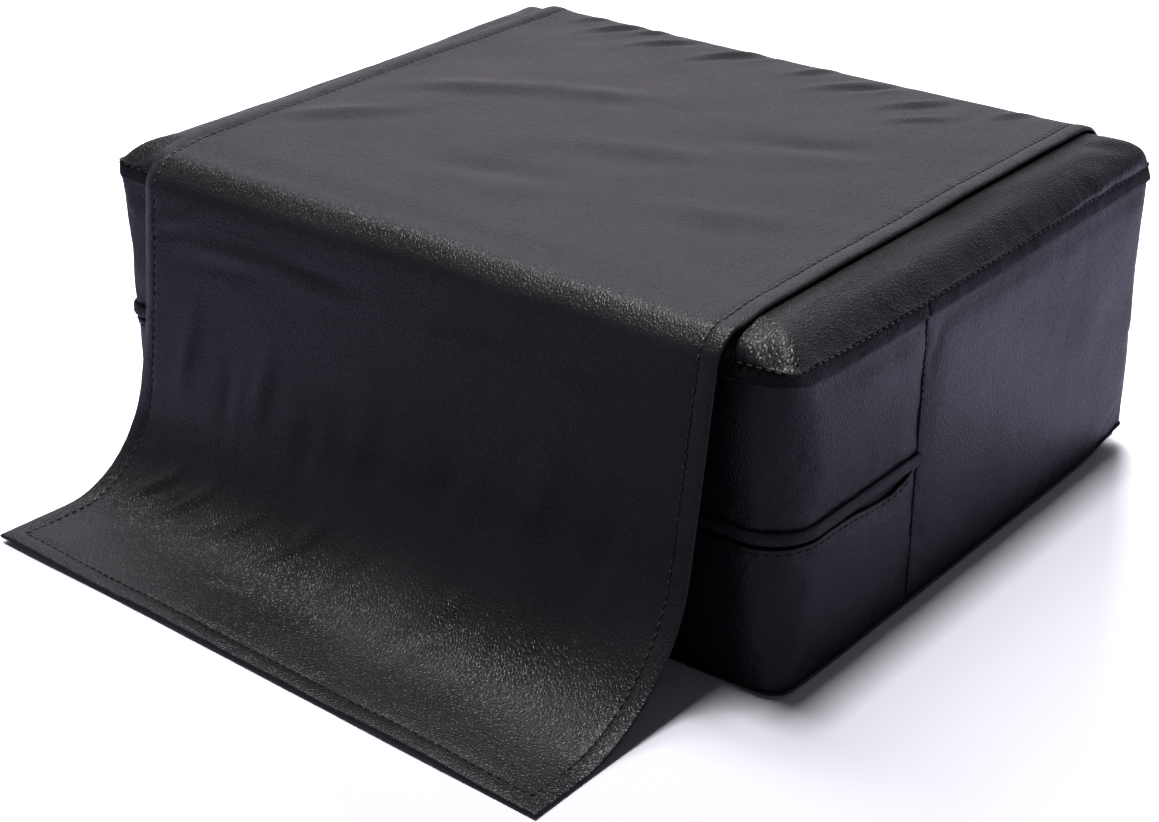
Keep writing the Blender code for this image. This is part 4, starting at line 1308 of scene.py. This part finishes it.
def world_light():
    """A pale studio wall behind on the left; the rest of the room is dim."""
    world = bpy.data.worlds.new("studio")
    bpy.context.scene.world = world
    world.use_nodes = True
    nodes = world.node_tree.nodes
    g = Graph(world.node_tree, "Generated")
    aim = g.vector("DOT_PRODUCT", {0: g.coords, 1: WALL_DIRECTION.normalized()}, "Value")
    wall = g.node("ValToRGB", {"Fac": aim}, "Color")
    stops = wall.node.color_ramp.elements
    stops[0].position = 0.40
    stops[0].color = tint(ROOM_COLOUR)
    stops[1].position = 0.97
    stops[1].color = tint(WALL_COLOUR)
    half_way = [(a + b) / 2 for a, b in zip(ROOM_COLOUR, WALL_COLOUR)]
    stops.new(0.80).color = tint(half_way)
    up = g.node("SeparateXYZ", {0: g.coords}, "Z")
    room = nodes["Background"]
    g.wire(room.inputs["Color"], wall)
    g.wire(room.inputs["Strength"], g.ramp(up, 0.45, 0.61, 1.0, 0.12))
    seen = g.node("LightPath", output="Is Camera Ray")
    backdrop = g.node("Background", {"Color": BACKDROP})
    chosen = g.node("MixShader", {0: seen, 1: room.outputs[0], 2: backdrop})
    g.wire(nodes["World Output"].inputs["Surface"], chosen)


def floor_material():
    """White floor, blown out for the camera, dimmer in front in what the leather reflects."""
    made = bpy.data.materials.new("studio_floor")
    made.use_nodes = True
    nodes = made.node_tree.nodes
    g = Graph(made.node_tree)
    away = g.vector("LENGTH", {0: g.coords}, "Value")
    near = g.node("BsdfDiffuse", {"Color": FLOOR_SEEN})
    far = g.node("Emission", {"Color": BACKDROP})
    seen = g.node("MixShader", {0: g.ramp(away, 0.5, 1.2), 1: near, 2: far})
    toward = g.vector("DOT_PRODUCT", {0: g.coords, 1: (0.55, 0.83, 0.0)}, "Value")
    bright = g.ramp(toward, -0.15, 0.40, 0.60, 1.0)
    bounce = g.node("BsdfDiffuse", {"Color": g.mix(bright, (0.0, 0.0, 0.0, 1), FLOOR_BOUNCE)})
    camera_ray = g.node("LightPath", output="Is Camera Ray")
    chosen = g.node("MixShader", {0: camera_ray, 1: bounce, 2: seen})
    g.wire(nodes["Material Output"].inputs["Surface"], chosen)
    nodes.remove(nodes["Principled BSDF"])
    return made


def build_floor():
    floor = primitive("floor", bmesh.ops.create_grid, x_segments=4, y_segments=4, size=8.0)
    floor.data.materials.append(floor_material())
    floor.location.z = -0.3 * MM


def area_light(name, position, target, size, power):
    light = bpy.data.lights.new(name, "AREA")
    light.shape = "RECTANGLE"
    light.size, light.size_y = size
    light.energy = power
    light.color = LAMP_COLOUR
    made = new_object(name, light)
    made.location = position
    made.rotation_euler = (Vector(target) - Vector(position)).to_track_quat("-Z", "Y").to_euler()
    return made


def build_lights():
    wall = area_light("wall_light", WALL_DIRECTION * 2.2, (0.0, 0.0, 0.1), (1.6, 0.9), 145)
    wall.visible_glossy = False
    area_light("long_softbox", (-0.27, 0.02, 1.4), (-0.27, 0.02, 0.0), (0.72, 0.28), 6.5)
    area_light("top_softbox", (0.10, -0.12, 1.3), (0.10, -0.12, 0.0), (0.18, 0.18), 9.5)


def build_camera():
    back = Vector((math.sin(AZIMUTH) * math.cos(ELEVATION),
                   -math.cos(AZIMUTH) * math.cos(ELEVATION), math.sin(ELEVATION)))
    camera = bpy.data.cameras.new("camera")
    camera.sensor_width = SENSOR
    camera.lens = LENS
    made = new_object("camera", camera)
    made.location = CAMERA_TARGET + back * CAMERA_DISTANCE
    made.rotation_euler = (-back).to_track_quat("-Z", "Y").to_euler()
    bpy.context.scene.camera = made


def build_studio():
    world_light()
    build_floor()
    build_lights()
    build_camera()
    view = bpy.context.scene.view_settings
    view.view_transform, view.look = "Standard", "None"


place_cover()
place_zip()
place_apron()
place_foam()
finish_cad_nodes()
build_studio()
